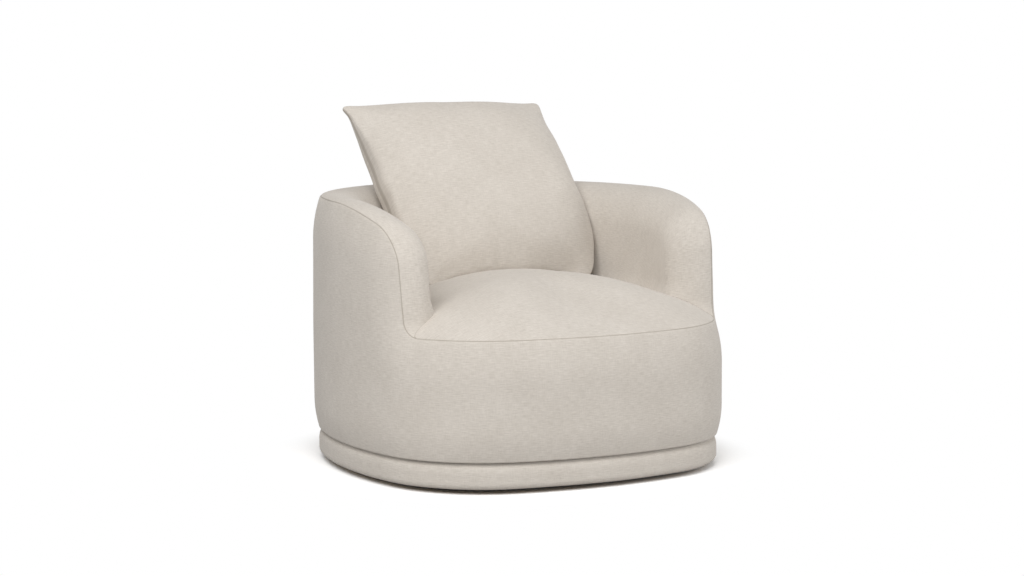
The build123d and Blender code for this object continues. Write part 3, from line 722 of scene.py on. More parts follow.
def patterned(name, light, dark, roughness, relief, pattern):
    """A finish without metal, whose pattern mixes two colours and raises the surface by relief in metres."""
    material, tree, output = new_material(name)
    place = add(tree, "ShaderNodeTexCoord").outputs["Object"]
    height = pattern(tree, place)
    colour = add(
        tree, "ShaderNodeMix", {"Factor": height}, data_type="RGBA", A=linear(dark), B=linear(light)
    ).outputs["Result"]
    bump = add(tree, "ShaderNodeBump", {"Height": height}, Strength=0.6, Distance=relief).outputs["Normal"]
    skin = add(tree, "ShaderNodeBsdfPrincipled", {"Base Color": colour, "Normal": bump}, Roughness=roughness)
    tree.links.new(skin.outputs["BSDF"], output.inputs["Surface"])
    return material


def metal(name, light, dark, least_roughness, most_roughness, mark):
    """A metal whose plating or polish varies over marks of the given size in metres."""
    material, tree, output = new_material(name)
    place = add(tree, "ShaderNodeTexCoord").outputs["Object"]
    marks = add(tree, "ShaderNodeTexNoise", {"Vector": place}, Scale=1 / mark, Detail=4.0).outputs["Fac"]
    colour = add(
        tree, "ShaderNodeMix", {"Factor": marks}, data_type="RGBA", A=linear(dark), B=linear(light)
    ).outputs["Result"]
    rough = add(
        tree, "ShaderNodeMapRange", {"Value": marks}, **{"To Min": least_roughness, "To Max": most_roughness}
    ).outputs["Result"]
    skin = add(tree, "ShaderNodeBsdfPrincipled", {"Base Color": colour, "Roughness": rough}, Metallic=1.0)
    tree.links.new(skin.outputs["BSDF"], output.inputs["Surface"])
    return material


def wood_grain(tree, place, long, wide):
    """Grain that runs from front to back, by the length and width of one mark in metres."""
    turned = add(tree, "ShaderNodeMapping", {"Vector": place}, Rotation=(0.0, 0.0, QUARTER))
    return threads(tree, turned.outputs["Vector"], long, wide)


def plywood_grain(tree, place):
    """Long grain lines 3 mm apart on the faces, and on the edges plies of 1.5 mm, drawn 3 mm to show."""
    grain = wood_grain(tree, place, 160 * MM, 3 * MM)
    plies = add(
        tree,
        "ShaderNodeTexWave",
        {"Vector": place},
        bands_direction="Z",
        Scale=WAVE_SPACING / (6 * MM),
        Distortion=0.4,
    ).outputs["Fac"]
    normal = add(tree, "ShaderNodeNewGeometry").outputs["Normal"]
    facing = add(tree, "ShaderNodeSeparateXYZ", {0: normal}).outputs["Z"]
    level = add(tree, "ShaderNodeMath", {0: facing}, operation="ABSOLUTE").outputs["Value"]
    return add(
        tree, "ShaderNodeMix", {"Factor": level, "A": plies, "B": grain}, data_type="FLOAT"
    ).outputs["Result"]


def hardwood_grain(tree, place):
    """Short dark flecks 14 mm long and 1.6 mm wide, as beech has."""
    return wood_grain(tree, place, 14 * MM, 1.6 * MM)


def fibres(tree, place):
    """Matted fibres about 6 mm long and 2 mm wide, drawn coarser than real ones so that they show."""
    return threads(tree, place, 6 * MM, 2 * MM)


def strap_weave(tree, place):
    """Level ribs, 3 mm apart."""
    return add(
        tree,
        "ShaderNodeTexWave",
        {"Vector": place},
        bands_direction="Z",
        Scale=WAVE_SPACING / (3 * MM),
        Distortion=1.0,
    ).outputs["Fac"]


def moulded_grain(tree, place):
    """Fine spark-eroded grain of about 1 mm."""
    return add(tree, "ShaderNodeTexNoise", {"Vector": place}, Scale=1 / MM, Detail=2.0).outputs["Fac"]


def frame_finishes():
    """Finishes of the chair's hidden frame, by the record's slots."""
    return {
        # Birch plywood: pale, matt, with dark and light plies on its sawn edges
        "plywood": patterned("birch plywood", "#DCC096", "#C6A273", 0.6, 0.1 * MM, plywood_grain),
        # Planed beech: warm and even, with small dark flecks
        "hardwood": patterned("planed beech", "#CDA577", "#B58A5C", 0.55, 0.1 * MM, hardwood_grain),
        # Pressed hardboard: dark brown, slightly fuzzy
        "hardboard": patterned("pressed hardboard", "#7C5D40", "#644A31", 0.75, 0.1 * MM, fibres),
        # Needled felt: grey, matted and dull
        "felt": patterned("needled felt", "#8E8B86", "#6F6C68", 0.95, 0.6 * MM, fibres),
        # Woven elastic strap: near black, ribbed
        "webbing": patterned("woven elastic strap", "#34312E", "#1F1D1B", 0.85, 0.5 * MM, strap_weave),
        # Spun-bonded lining: black, flat, with a faint fibre
        "black_lining": patterned("spun-bonded lining", "#1D1D1D", "#111111", 0.9, 0.2 * MM, fibres),
        # Moulded nylon: black with a low satin gloss
        "nylon": patterned("moulded nylon", "#262626", "#1B1B1B", 0.45, 0.05 * MM, moulded_grain),
        # Zinc-plated steel: pale, cloudy, half matt
        "zinc_steel": metal("zinc-plated steel", "#C3C6CA", "#A9ADB2", 0.3, 0.5, 6 * MM),
        # Tempered spring wire: dark blue-grey, oily satin
        "spring_steel": metal("tempered spring wire", "#66686C", "#4A4B4F", 0.3, 0.45, 4 * MM),
        # Polished bearing steel: bright, with the faintest marks
        "ball_steel": metal("polished bearing steel", "#DFE0E2", "#D2D3D6", 0.05, 0.12, 2 * MM),
    }


class CHAIR_OT_outer_panel(Operator):
    """Makes the outside panel, from the groove over the base up to the seam"""

    bl_idname = "chair.outer_panel"
    bl_label = "Outside panel"

    def execute(self, context):
        form = context.scene.chair_form
        plan = outer_plan(form)
        path = SeamPath(form)
        bottom = band_high.z + LIP_GAP
        # Columns fan out from the groove up to the seam, with closer rows at both
        below = spread(path.run, path.z, FAN_SHARE) * plan.length
        top_run = path.run + SEAM_GAP * np.sin(path.facing)
        top_z = path.z - SEAM_GAP * np.cos(path.facing)
        shares = 0.5 - 0.5 * np.cos(np.pi * np.linspace(0.0, 1.0, PANEL_ROWS))
        run = np.outer(below, 1 - shares) + np.outer(top_run, shares)
        z = np.outer(np.full_like(below, bottom + LIP), 1 - shares) + np.outer(top_z, shares)
        # The panel draws in towards its edges, and is uneven
        from_seam = path.distance(run, z)
        inset = self.draw_in(form, from_seam, z - bottom)
        x, y = plan.at(run, 0.0)
        inset = inset + UNEVEN * soft_noise(x, y, z, UNEVEN_SIZE)
        inset = inset + PUCKER * soft_noise(x, y, z, PUCKER_SIZE) * np.exp(-from_seam / PUCKER_SIZE)
        # A lip rolls in over the base band, and both edges tuck in
        turn = np.linspace(0.0, QUARTER, LIP_ROWS)[:-1]
        lip_inset = inset[:, :1] + LIP * (1 - np.sin(turn))
        lip_run = np.repeat(below[:, None], len(turn), axis=1)
        lip_z = np.broadcast_to(bottom + LIP * (1 - np.cos(turn)), lip_run.shape)
        # Nearness to the seam, where shade is painted in a thin dark line
        seam = near_seam(from_seam - SEAM_GAP)
        seam = joined(np.zeros_like(lip_run[:, :1]), np.zeros_like(lip_run), seam, seam[:, -1:])
        run = joined(lip_run[:, :1], lip_run, run, run[:, -1:])
        z = joined(lip_z[:, :1], lip_z, z, z[:, -1:])
        inset = joined(lip_inset[:, :1] + LIP_TUCK, lip_inset, inset, inset[:, -1:] + TUCK)
        # The left half mirrors the right one
        run = np.concatenate((-run[::-1], run[1:]))
        z, inset, seam = (np.concatenate((half[::-1], half[1:])) for half in (z, inset, seam))
        x, y = plan.at(run, inset)
        mesh = sheet_mesh("outside_panel", np.stack((x, y, z), axis=2), np.stack((run, z), axis=2), seam)
        panel = make_object("outside_panel", mesh, from_axis)
        thicken(panel, form.cover_wall)
        finish_cover(panel, "tub", COVER_FILL, "outer_cover", "outer_wadding")
        return {"FINISHED"}

    def draw_in(self, form, from_seam, above):
        """How far the panel pulls in towards its seam and towards the groove."""
        puff = form.seam_inset * np.clip(1 - from_seam / form.puff_reach, 0, None) ** 2
        lower = form.lower_draw * np.clip(1 - above / form.lower_reach, 0, None) ** 2
        return puff + lower + form.groove * np.exp((SEAM_GAP - from_seam) / GROOVE_WIDTH)


def finish_cover(obj, body, fill, *nodes):
    """Gives a soft piece its fabric and says what it rides on and stands for."""
    obj.data.materials.clear()
    obj.data.materials.append(bpy.data.materials[FABRIC])
    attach(obj, body)
    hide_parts(*nodes)


class CHAIR_OT_inside_panel(Operator):
    """Makes the inside panel, from the seam over the arms and back and down to the seat"""

    bl_idname = "chair.inside_panel"
    bl_label = "Inside panel"

    def execute(self, context):
        form = context.scene.chair_form
        outer = outer_plan(form)
        inner = inner_plan(form)
        path = SeamPath(form)
        # From the arm's foot along the seam: the width of the wall, and the roll across it
        run, z, facing = (values[path.foot :] for values in (path.run, path.z, path.facing))
        inner_run = self.opposite(form, outer, inner, run)
        width = self.width(form, outer, inner, run, inner_run)
        way = path.way[path.foot :]
        across, height = self.section(form, width, way - way[0])
        # The roll stands square to the seam, so that it faces forward at the arm front
        facing = averaged(facing, int(NOSE_SPAN / form.step))
        forward, up = np.sin(facing)[:, None], np.cos(facing)[:, None]
        shift = -forward * height
        share = np.clip(across / width[:, None], 0.0, 1.0)
        level = z[:, None] + up * height
        # Across the wall, each row goes over from the outer outline to the inner one
        outer_x, outer_y = outer.at(run[:, None] + shift, form.seam_inset + across)
        spread_in = self.flare(form, level, inner_run)
        inner_x, inner_y = inner.at(inner_run[:, None] + shift, across - width[:, None] + spread_in)
        x = outer_x * (1 - share) + inner_x * share
        y = outer_y * (1 - share) + inner_y * share
        level = level + UNEVEN * soft_noise(x, y, level, UNEVEN_SIZE) * (1 - share)
        # Below the roll, the columns fan out down to the seat
        fan = np.linspace(0.0, 1.0, FAN_ROWS)[1:]
        low_start = inner_run[0] + form.inner_roll
        low_run = low_start + spread(inner_run, z, FAN_SHARE) * (inner.length - low_start)
        fan_run = (inner_run[:, None] + shift)[:, -1:] * (1 - fan) + low_run[:, None] * fan
        fan_z = level[:, -1:] * (1 - fan) + form.seat_base * fan
        fan_x, fan_y = inner.at(fan_run, 0.0)
        dent = UNEVEN * soft_noise(fan_x, fan_y, fan_z, UNEVEN_SIZE) * fan
        fan_x, fan_y = inner.at(fan_run, dent + self.flare(form, fan_z, inner_run))
        # The weave runs along the seam and down the panel, and is turned where the panel faces forward
        down = np.cumsum(np.hypot(np.diff(across, axis=1), np.diff(height, axis=1)), axis=1)
        v = joined(np.zeros_like(across[:, :1]), down, down[:, -1:] + level[:, -1:] - fan_z)
        u = np.repeat((way[-1] - way)[:, None], v.shape[1], axis=1)
        cross_grain = np.repeat(np.clip(forward, 0.0, 1.0), v.shape[1], axis=1)
        # Shade is painted in a dark line where the panel meets the seat, and at its own seam
        points = np.stack((joined(x, fan_x), joined(y, fan_y), joined(level, fan_z)), axis=2)
        seam = near_seam(points[..., 2] - seat_height(form, points[..., 0], points[..., 1]) + CREASE_PALER)
        rows = across.shape[1]
        seam[:, :rows] = np.maximum(seam[:, :rows], near_seam(across - across[:, :1]))
        # The left half mirrors the right one
        left = points * np.array((-1.0, 1.0, 1.0))
        uv = np.concatenate((np.stack((-u, v), axis=2), np.stack((u, v), axis=2)[::-1][1:]))
        seam = np.concatenate((seam, seam[::-1][1:]))
        cross_grain = np.concatenate((cross_grain, cross_grain[::-1][1:]))
        mesh = sheet_mesh("inside_panel", np.concatenate((left, points[::-1][1:])), uv, seam, cross_grain)
        panel = make_object("inside_panel", mesh, upward)
        thicken(panel, 2 * form.cover_wall)
        finish_cover(panel, "tub", COVER_FILL, "inside_cover", "inside_foam")
        return {"FINISHED"}

    def flare(self, form, level, inner_run):
        """How far the inside spreads to the seat: a lean behind the arm fronts and a flare at its foot."""
        lean = LEAN * eased((inner_run - inner_run[0] - LEAN_START) / LEAN_GROWTH)[:, None]
        lean = lean * np.clip((form.lean_top - level) / LEAN_REACH, 0.0, 1.0) ** LEAN_CURVE
        return lean + FLARE * np.clip((form.flare_top - level) / FLARE_REACH, 0.0, 1.0) ** 2

    def opposite(self, form, outer, inner, run):
        """Place on the inner outline opposite each place on the seam: straight across at the arm fronts."""
        outer_front = outer.run_at(form.arm_front, form.seam_inset)
        inner_front = inner.run_at(form.arm_front, 0.0)
        inner_length = inner.length - inner_front
        return inner_front + (run - outer_front) * inner_length / (outer.length - outer_front)

    def width(self, form, outer, inner, run, inner_run):
        """Distance across the wall from its seam to its inside."""
        outer_x, outer_y = outer.at(run, form.seam_inset)
        inner_x, inner_y = inner.at(inner_run, 0.0)
        return np.hypot(inner_x - outer_x, inner_y - outer_y)

    def section(self, form, width, way):
        """The roll from the seam over the top to the inside: distances across, and heights over the seam."""
        roll, tilt = form.inner_roll, form.roll_tilt
        grown = eased(way / FOOT_LENGTH)[:, None]
        # Up from the seam to the crown, which sinks to nothing at an arm's foot
        rise = -tilt * (1 - np.linspace(0.0, 1.0, RISE_ROWS) ** RISE_CROWDING)
        rise_across = SEAM_GAP + roll * (np.sin(rise) + math.sin(tilt))
        crown = roll * (1 - math.cos(tilt))
        rise_height = roll * (np.cos(rise) - math.cos(tilt))
        # Level over the top, as far as the roll on the inside, which is larger where the wall is thick
        top = np.linspace(0.0, 1.0, TOP_ROWS)[1:]
        wide = np.minimum(roll + ROLL_GROWTH * np.clip(width - width[0], 0.0, None), form.largest_roll)
        wide = np.minimum(wide, width - rise_across[-1])
        top_across = rise_across[-1] + np.outer(width - wide - rise_across[-1], top)
        # Down over that roll
        turn = np.linspace(0.0, QUARTER, TURN_ROWS)[1:]
        turn_across = width[:, None] + wide[:, None] * (np.sin(turn) - 1)
        turn_height = crown - wide[:, None] * (1 - np.cos(turn))
        # The whole section, with a dip at the seam and an edge tucked in below it
        columns = np.ones((len(width), 1))
        across = joined(columns * rise_across[:1], columns * rise_across, top_across, turn_across)
        height = joined(columns * rise_height, np.full_like(top_across, crown), turn_height)
        height = np.where(height > 0, height * grown, height)
        height = height - form.groove * np.exp(-(across[:, 1:] - across[:, :1]) / GROOVE_WIDTH)
        return across, joined(height[:, :1] - TUCK, height)


def seat_reach(form, turn):
    """Reach of the front seam's outline from the seat's highest place, by direction."""
    plan = outer_plan(form)
    x, y = plan.at(np.linspace(-plan.length, plan.length, RIM_POINTS), form.seam_inset + SEAM_GAP)
    y = y - form.seat_apex
    outline_turn = np.unwrap(np.arctan2(y, x))
    first = outline_turn[0]
    return np.interp(first + np.mod(turn - first, 2 * math.pi), outline_turn, np.hypot(x, y))


def seat_height(form, x, y):
    """Height of the seat: a rounded cone, fuller at front corners and arms' feet, low under the pillow."""
    turn = np.arctan2(y - form.seat_apex, x)
    reach = seat_reach(form, turn)
    share = np.clip(np.hypot(x, y - form.seat_apex) / reach, 0.0, 1.0)
    corner = np.where(turn < 0, np.sin(2 * turn) ** 2, 0.0)
    out = share ** (1 + form.corner_fullness * corner)
    rounding = form.seat_rounding
    drop = (np.hypot(out, rounding) - rounding) / (math.hypot(1.0, rounding) - rounding)
    to_foot = np.hypot(np.abs(x) - tub_high.x + form.arm_thickness, y - form.arm_front)
    foot = form.foot_rise * np.exp(-((to_foot / form.foot_reach) ** 2))
    foot = foot * (1 - np.exp((share - 1) * reach / FOOT_FADE))
    dip = form.seat_dip * eased((y - form.dip_start) / form.dip_reach)
    return form.seat_seam + (form.seat_crown - form.seat_seam) * (1 - drop) + foot - dip


class CHAIR_OT_seat(Operator):
    """Makes the crowned seat as one closed pad"""

    bl_idname = "chair.seat"
    bl_label = "Seat"

    def execute(self, context):
        form = context.scene.chair_form
        # A square grid, rounded to a disc and then drawn out to the seat's rim
        line = np.linspace(-1.0, 1.0, SEAT_CELLS + 1)
        across, along = np.meshgrid(line, line, indexing="ij")
        disc_x = across * np.sqrt(1 - along**2 / 2)
        disc_y = along * np.sqrt(1 - across**2 / 2)
        share = 1 - np.clip(1 - np.hypot(disc_x, disc_y), 0.0, 1.0) ** SEAT_CROWDING
        turn = np.arctan2(disc_y, disc_x)
        reach = seat_reach(form, turn)
        x = share * reach * np.cos(turn)
        y = share * reach * np.sin(turn) + form.seat_apex
        from_seam = (1 - share) * reach
        z = seat_height(form, x, y) - form.groove * np.exp(-from_seam / GROOVE_WIDTH)
        z = z + UNEVEN * soft_noise(x, y, z, UNEVEN_SIZE) * np.clip(from_seam / PUCKER_SIZE, 0.0, 1.0)
        top = np.stack((x, y, z), axis=2)
        bottom = np.stack((x, y, np.minimum(z - SEAT_EDGE, form.seat_bottom)), axis=2)
        mesh = closed_pad("seat_pad", top, bottom, np.stack((x, y), axis=2), self.showing(form, top))
        # Nearness to the front seam, where shade is painted in a thin dark line
        seam = near_seam(from_seam)
        store(mesh, "seam", np.concatenate((seam, seam)))
        seat = make_object("seat_pad", mesh, Vector)
        finish_cover(seat, "tub", COVER_FILL, "seat_cover", "seat_foam")
        return {"FINISHED"}

    def showing(self, form, top):
        """Cells of the seat that are not wholly buried inside the arms and back."""
        tree = surface_of(bpy.data.objects["inside_panel"])
        buried = np.zeros(top.shape[:2], bool)
        for place in np.ndindex(buried.shape):
            point = Vector(top[place])
            near, normal, _, _ = tree.find_nearest(point)
            buried[place] = point.y > form.arm_front and (point - near).dot(normal) < -SEAT_BURIED
        return ~(buried[:-1, :-1] & buried[1:, :-1] & buried[1:, 1:] & buried[:-1, 1:])


def surface_of(obj):
    """Search tree of an object's own faces, without its modifiers."""
    points = [point.co for point in obj.data.vertices]
    return BVHTree.FromPolygons(points, [face.vertices for face in obj.data.polygons])


class CHAIR_OT_band(Operator):
    """Makes the padded band round the base"""

    bl_idname = "chair.band"
    bl_label = "Base band"

    def execute(self, context):
        form = context.scene.chair_form
        outline = self.outline(form)
        tree = padded_band_tree(bpy.data.materials[FABRIC])
        sweep = outline.modifiers.new("Band", "NODES")
        sweep.node_group = tree
        height = band_high.z - band_low.z
        sizes = {
            "Width": form.band_wall,
            "Height": height,
            "Rounding": form.band_round,
            "Foot Start": form.band_draw_reach - height / 2,
            "Foot End": -height / 2,
            "Foot Shift": -form.band_draw,
            "Step": form.step,
            "Unevenness": UNEVEN,
        }
        for socket in tree.interface.items_tree:
            if socket.name in sizes:
                sweep[socket.identifier] = sizes[socket.name]
        evaluated = outline.evaluated_get(context.evaluated_depsgraph_get())
        mesh = bpy.data.meshes.new_from_object(evaluated)
        bpy.data.objects.remove(outline)
        mesh.name = "base_band"
        band = make_object("base_band", mesh, from_axis)
        finish_cover(band, "tub", COVER_FILL, "band_cover", "band_foam")
        return {"FINISHED"}

    def outline(self, form):
        """Closed line through the middle of the band's padding, from the back round the left side first."""
        plan = outer_plan(form)
        runs = np.linspace(-plan.length, plan.length, 2 * int(plan.length / form.step))[:-1]
        x, y = plan.at(runs, tub_high.x - band_high.x + form.band_wall / 2)
        curve = bpy.data.curves.new("band outline", "CURVE")
        curve.dimensions = "3D"
        curve.twist_mode = "Z_UP"
        line = curve.splines.new("POLY")
        line.points.add(len(runs) - 1)
        line.use_cyclic_u = True
        level = np.full_like(x, (band_low.z + band_high.z) / 2)
        line.points.foreach_set("co", np.stack((x, y, level, np.ones_like(x)), axis=1).ravel())
        outline = bpy.data.objects.new("band outline", curve)
        bpy.context.scene.collection.objects.link(outline)
        return outline


def padded_band_tree(material):
    """Node tree that sweeps a strip with rounded outer edges along a line, drawn in at its foot."""
    tree = bpy.data.node_groups.new("padded band", "GeometryNodeTree")
    tree.interface.new_socket("Outline", in_out="INPUT", socket_type="NodeSocketGeometry")
    strip_sizes = ("Width", "Height", "Rounding", "Foot Start", "Foot End", "Foot Shift")
    for name in (*strip_sizes, "Step", "Unevenness"):
        tree.interface.new_socket(name, in_out="INPUT", socket_type="NodeSocketFloat")
    tree.interface.new_socket("Band", in_out="OUTPUT", socket_type="NodeSocketGeometry")
    sizes = add(tree, "NodeGroupInput").outputs
    path = add(
        tree,
        "GeometryNodeResampleCurve",
        {"Curve": sizes["Outline"], "Length": sizes["Step"]},
        mode="LENGTH",
    ).outputs["Curve"]
    # The strip is square on its inner side and rounded on its outer one
    strip = add(
        tree, "GeometryNodeCurvePrimitiveQuadrilateral", {"Width": sizes["Width"], "Height": sizes["Height"]}
    ).outputs["Curve"]
    position = add(tree, "GeometryNodeInputPosition").outputs["Position"]
    place = add(tree, "ShaderNodeSeparateXYZ", {0: position}).outputs
    outside = add(
        tree, "FunctionNodeCompare", {"A": place["X"]}, operation="GREATER_THAN", B=0.0
    ).outputs["Result"]
    rounding = add(
        tree, "GeometryNodeSwitch", {"Switch": outside, "True": sizes["Rounding"]}, input_type="FLOAT"
    ).outputs["Output"]
    strip = add(
        tree,
        "GeometryNodeFilletCurve",
        {"Curve": strip, "Radius": rounding},
        mode="POLY",
        Count=BAND_EDGE_POINTS,
    ).outputs["Curve"]
    strip = add(
        tree, "GeometryNodeResampleCurve", {"Curve": strip}, mode="LENGTH", Length=BAND_FACE
    ).outputs["Curve"]
    # At its foot the outer side curves in, by the square of how far down it is
    down = add(
        tree,
        "ShaderNodeMapRange",
        {"Value": place["Y"], "From Min": sizes["Foot Start"], "From Max": sizes["Foot End"]},
    ).outputs["Result"]
    square = add(tree, "ShaderNodeMath", {0: down, 1: down}, operation="MULTIPLY").outputs["Value"]
    drawn = add(
        tree, "ShaderNodeMath", {0: square, 1: sizes["Foot Shift"]}, operation="MULTIPLY"
    ).outputs["Value"]
    offset = add(tree, "ShaderNodeCombineXYZ", {"X": drawn}).outputs["Vector"]
    strip = add(
        tree, "GeometryNodeSetPosition", {"Geometry": strip, "Selection": outside, "Offset": offset}
    ).outputs["Geometry"]
    # Lengths along the line and round the strip become the UV map
    lengths = add(tree, "GeometryNodeSplineParameter").outputs["Length"]
    kept = []
    for line in (path, strip):
        keep = tree.nodes.new("GeometryNodeCaptureAttribute")
        keep.capture_items.new("FLOAT", "Length")
        tree.links.new(line, keep.inputs["Geometry"])
        tree.links.new(lengths, keep.inputs["Length"])
        kept.append(keep.outputs)
    band = add(
        tree, "GeometryNodeCurveToMesh", {"Curve": kept[0]["Geometry"], "Profile Curve": kept[1]["Geometry"]}
    ).outputs["Mesh"]
    flat = add(
        tree, "ShaderNodeCombineXYZ", {"X": kept[0]["Length"], "Y": kept[1]["Length"]}
    ).outputs["Vector"]
    band = add(
        tree,
        "GeometryNodeStoreNamedAttribute",
        {"Geometry": band, "Value": flat},
        data_type="FLOAT2",
        domain="CORNER",
        Name="UVMap",
    ).outputs["Geometry"]
    # Soft bumps make the face slightly uneven
    bumps = add(tree, "ShaderNodeTexNoise", Scale=1 / UNEVEN_SIZE, Detail=1.0).outputs["Fac"]
    bumps = add(tree, "ShaderNodeMapRange", {"Value": bumps}, **{"To Min": -1.0}).outputs["Result"]
    bumps = add(
        tree, "ShaderNodeMath", {0: bumps, 1: sizes["Unevenness"]}, operation="MULTIPLY"
    ).outputs["Value"]
    normal = add(tree, "GeometryNodeInputNormal").outputs["Normal"]
    move = add(
        tree, "ShaderNodeVectorMath", {0: normal, "Scale": bumps}, operation="SCALE"
    ).outputs["Vector"]
    band = add(tree, "GeometryNodeSetPosition", {"Geometry": band, "Offset": move}).outputs["Geometry"]
    band = add(tree, "GeometryNodeRealizeInstances", {"Geometry": band}).outputs["Geometry"]
    band = add(tree, "GeometryNodeSetMaterial", {"Geometry": band}, Material=material).outputs["Geometry"]
    add(tree, "NodeGroupOutput", {"Band": band})
    return tree


class CHAIR_OT_pillow(Operator):
    """Makes the loose pillow, swells it by cloth simulation and leans it on the seat and the back"""

    bl_idname = "chair.pillow"
    bl_label = "Pillow"

    def execute(self, context):
        form = context.scene.chair_form
        front, rear, flat, seam = self.cut(form)
        mesh = closed_pad("loose_pillow", front, rear, flat)
        store(mesh, "seam", np.concatenate((seam, seam)))
        pillow = make_object("loose_pillow", mesh, Vector)
        settle(pillow, form.pressure, form.settle_frames, PILLOW_SWELL)
        relax(pillow, RELAX_ROUNDS)
        self.place(form, pillow)
        for name in ("seat_pad", "inside_panel"):
            press(pillow, bpy.data.objects[name], PILLOW_REST)
        smooth = pillow.modifiers.new("Smooth", "SUBSURF")
        smooth.levels = 1
        smooth.render_levels = 1
        finish_cover(pillow, "pillow", PILLOW_FILL, "pillow_cover", "pillow_fill")
        return {"FINISHED"}

    def cut(self, form):
        """The sewn form before it swells: seams drawn in between rounded corners, sides overhanging them."""
        # A square grid that is closer along the seams
        line = np.linspace(-1.0, 1.0, PILLOW_CELLS + 1)
        line = np.sin(line * PILLOW_CROWDING * QUARTER) / math.sin(PILLOW_CROWDING * QUARTER)
        across, along = np.meshgrid(line, line, indexing="ij")
        half = np.array((form.pillow_width, form.pillow_height)) / 2
        to_side = (1 - np.abs(across)) * half[0]
        to_top = (1 - np.abs(along)) * half[1]
        # Seams draw in between the corners, whose points are rounded off
        drawn_side = form.pillow_draw_in * (1 - np.exp(-to_top / form.pillow_draw_reach))
        drawn_top = np.where(along > 0, form.pillow_top_draw, form.pillow_foot_draw)
        drawn_top = drawn_top * (1 - np.exp(-to_side / form.pillow_draw_reach))
        between = 1 - along**SIDE_END
        swollen = self.swelling(form, to_side) * between
        corner = form.pillow_corner * (across * along) ** CORNER_SHARPNESS
        rise = along * (half[1] - drawn_top) - np.sign(along) * corner
        # The sides ripple, and the lower corners come in as they turn under
        ripple = PILLOW_RIPPLE * soft_noise(across, rise, across, RIPPLE_SIZE)
        ripple = ripple * np.exp(-to_side / RIPPLE_SIZE)
        low = np.clip(1 - (1 + along) * half[1] / form.pillow_foot_round, 0.0, 1.0)
        narrow = form.pillow_foot_narrow * (1 - np.sqrt(1 - low**2)) * np.where(across > 0, 1.0, FREE_CORNER)
        x = across * (half[0] - drawn_side - narrow) - np.sign(across) * corner + ripple * between
        x = x - form.pillow_skew * along / 2
        front_x = x + np.sign(across) * form.pillow_overhang * swollen
        # The filling is full in the middle, and lacking at the seams and more so at the corners
        power = form.pillow_fullness
        end_power = np.where(along < 0, form.pillow_foot_fullness, power)
        full = np.clip(1 - np.abs(across) ** power, 0.0, None) ** (1 / power)
        full = full * np.clip(1 - np.abs(along) ** end_power, 0.0, None) ** (1 / end_power)
        near_corner = np.exp(-(to_side**2 + to_top**2) / form.pillow_corner_reach**2)
        depth = PILLOW_START * form.pillow_thickness / 2 * full * (1 - form.pillow_flat_corner * near_corner)
        depth = depth + PILLOW_SEAM / 2
        front = np.stack((front_x, rise, depth), axis=2)
        rear = np.stack((x, rise, -depth), axis=2)
        # Nearness to the seam, where shade is painted in a paler thin line, and which the smoothing leaves
        # alone
        seam = near_seam(np.minimum(to_side, to_top) + PILLOW_SEAM_PALER)
        return front, rear, np.stack((x, rise), axis=2), seam

    def swelling(self, form, from_seam):
        """How much of the overhang shows at a distance from the seam."""
        share = from_seam / form.pillow_overhang_reach
        return share * np.exp(1 - share)

    def place(self, form, pillow):
        """Gives the pillow its thickness and leans it back, its middle near that of the frame's pillow."""
        points = coordinates(pillow)
        points[:, 2] *= form.pillow_thickness / np.ptp(points[:, 2])
        lean = form.pillow_lean
        right = np.array((1.0, 0.0, 0.0))
        rise = np.array((0.0, math.sin(lean), math.cos(lean)))
        face = np.array((0.0, -math.cos(lean), math.sin(lean)))
        center = np.array((pillow_low + pillow_high) / 2)
        center = center - rise * form.pillow_sink + right * form.pillow_aside
        hanging = right - rise * form.pillow_drop / form.pillow_width
        move_to(pillow, points @ np.array((hanging, rise, face)) + center)


def coordinates(obj):
    """An object's points."""
    points = np.empty(len(obj.data.vertices) * 3)
    obj.data.vertices.foreach_get("co", points)
    return points.reshape(-1, 3)


def move_to(obj, points):
    """Sets an object's points."""
    obj.data.vertices.foreach_set("co", np.ascontiguousarray(points).ravel())
    obj.data.update()


def relax(soft, rounds):
    """Smooths a soft piece everywhere but near its seams."""
    work = bmesh.new()
    work.from_mesh(soft.data)
    seam = work.verts.layers.float["seam"]
    away = [point for point in work.verts if point[seam] == 0]
    for _ in range(rounds):
        bmesh.ops.smooth_vert(
            work, verts=away, factor=RELAX_SHARE, use_axis_x=True, use_axis_y=True, use_axis_z=True
        )
    work.to_mesh(soft.data)
    work.free()


def press(soft, support, gap):
    """Moves the points of a soft piece that lie inside its support to just over the support's surface."""
    tree = surface_of(support)
    points = coordinates(soft)
    for number, point in enumerate(points):
        near, normal, _, _ = tree.find_nearest(Vector(point), PRESS_REACH)
        if near is not None and (Vector(point) - near).dot(normal) < gap:
            points[number] = near + normal * gap
    move_to(soft, points)


class CHAIR_OT_finishes(Operator):
    """Makes the materials and gives the frame's own pieces theirs"""

    bl_idname = "chair.finishes"
    bl_label = "Finishes"

    def execute(self, context):
        linen_material(context.scene.chair_finish)
        finishes = frame_finishes()
        for part in frame["record"]["subparts"]:
            finish = finishes.get(part["material_slot"])
            if finish is not None:
                for place in frame["nodes"][part["node"]].material_slots:
                    place.material = finish
        return {"FINISHED"}


def seen_rays(tree):
    """One for what is seen, straight, in a reflection or through glass, and zero for light on the chair."""
    rays = add(tree, "ShaderNodeLightPath").outputs
    seen = rays["Is Camera Ray"]
    for name in ("Is Glossy Ray", "Is Transmission Ray"):
        seen = add(tree, "ShaderNodeMath", {0: seen, 1: rays[name]}, operation="MAXIMUM").outputs["Value"]
    return seen


def stand(obj, place, aim):
    """Stands a lamp or the camera at a place, looking at its aim."""
    obj.location = place
    obj.rotation_euler = (Vector(aim) - Vector(place)).to_track_quat("-Z", "Y").to_euler()
    bpy.context.scene.collection.objects.link(obj)


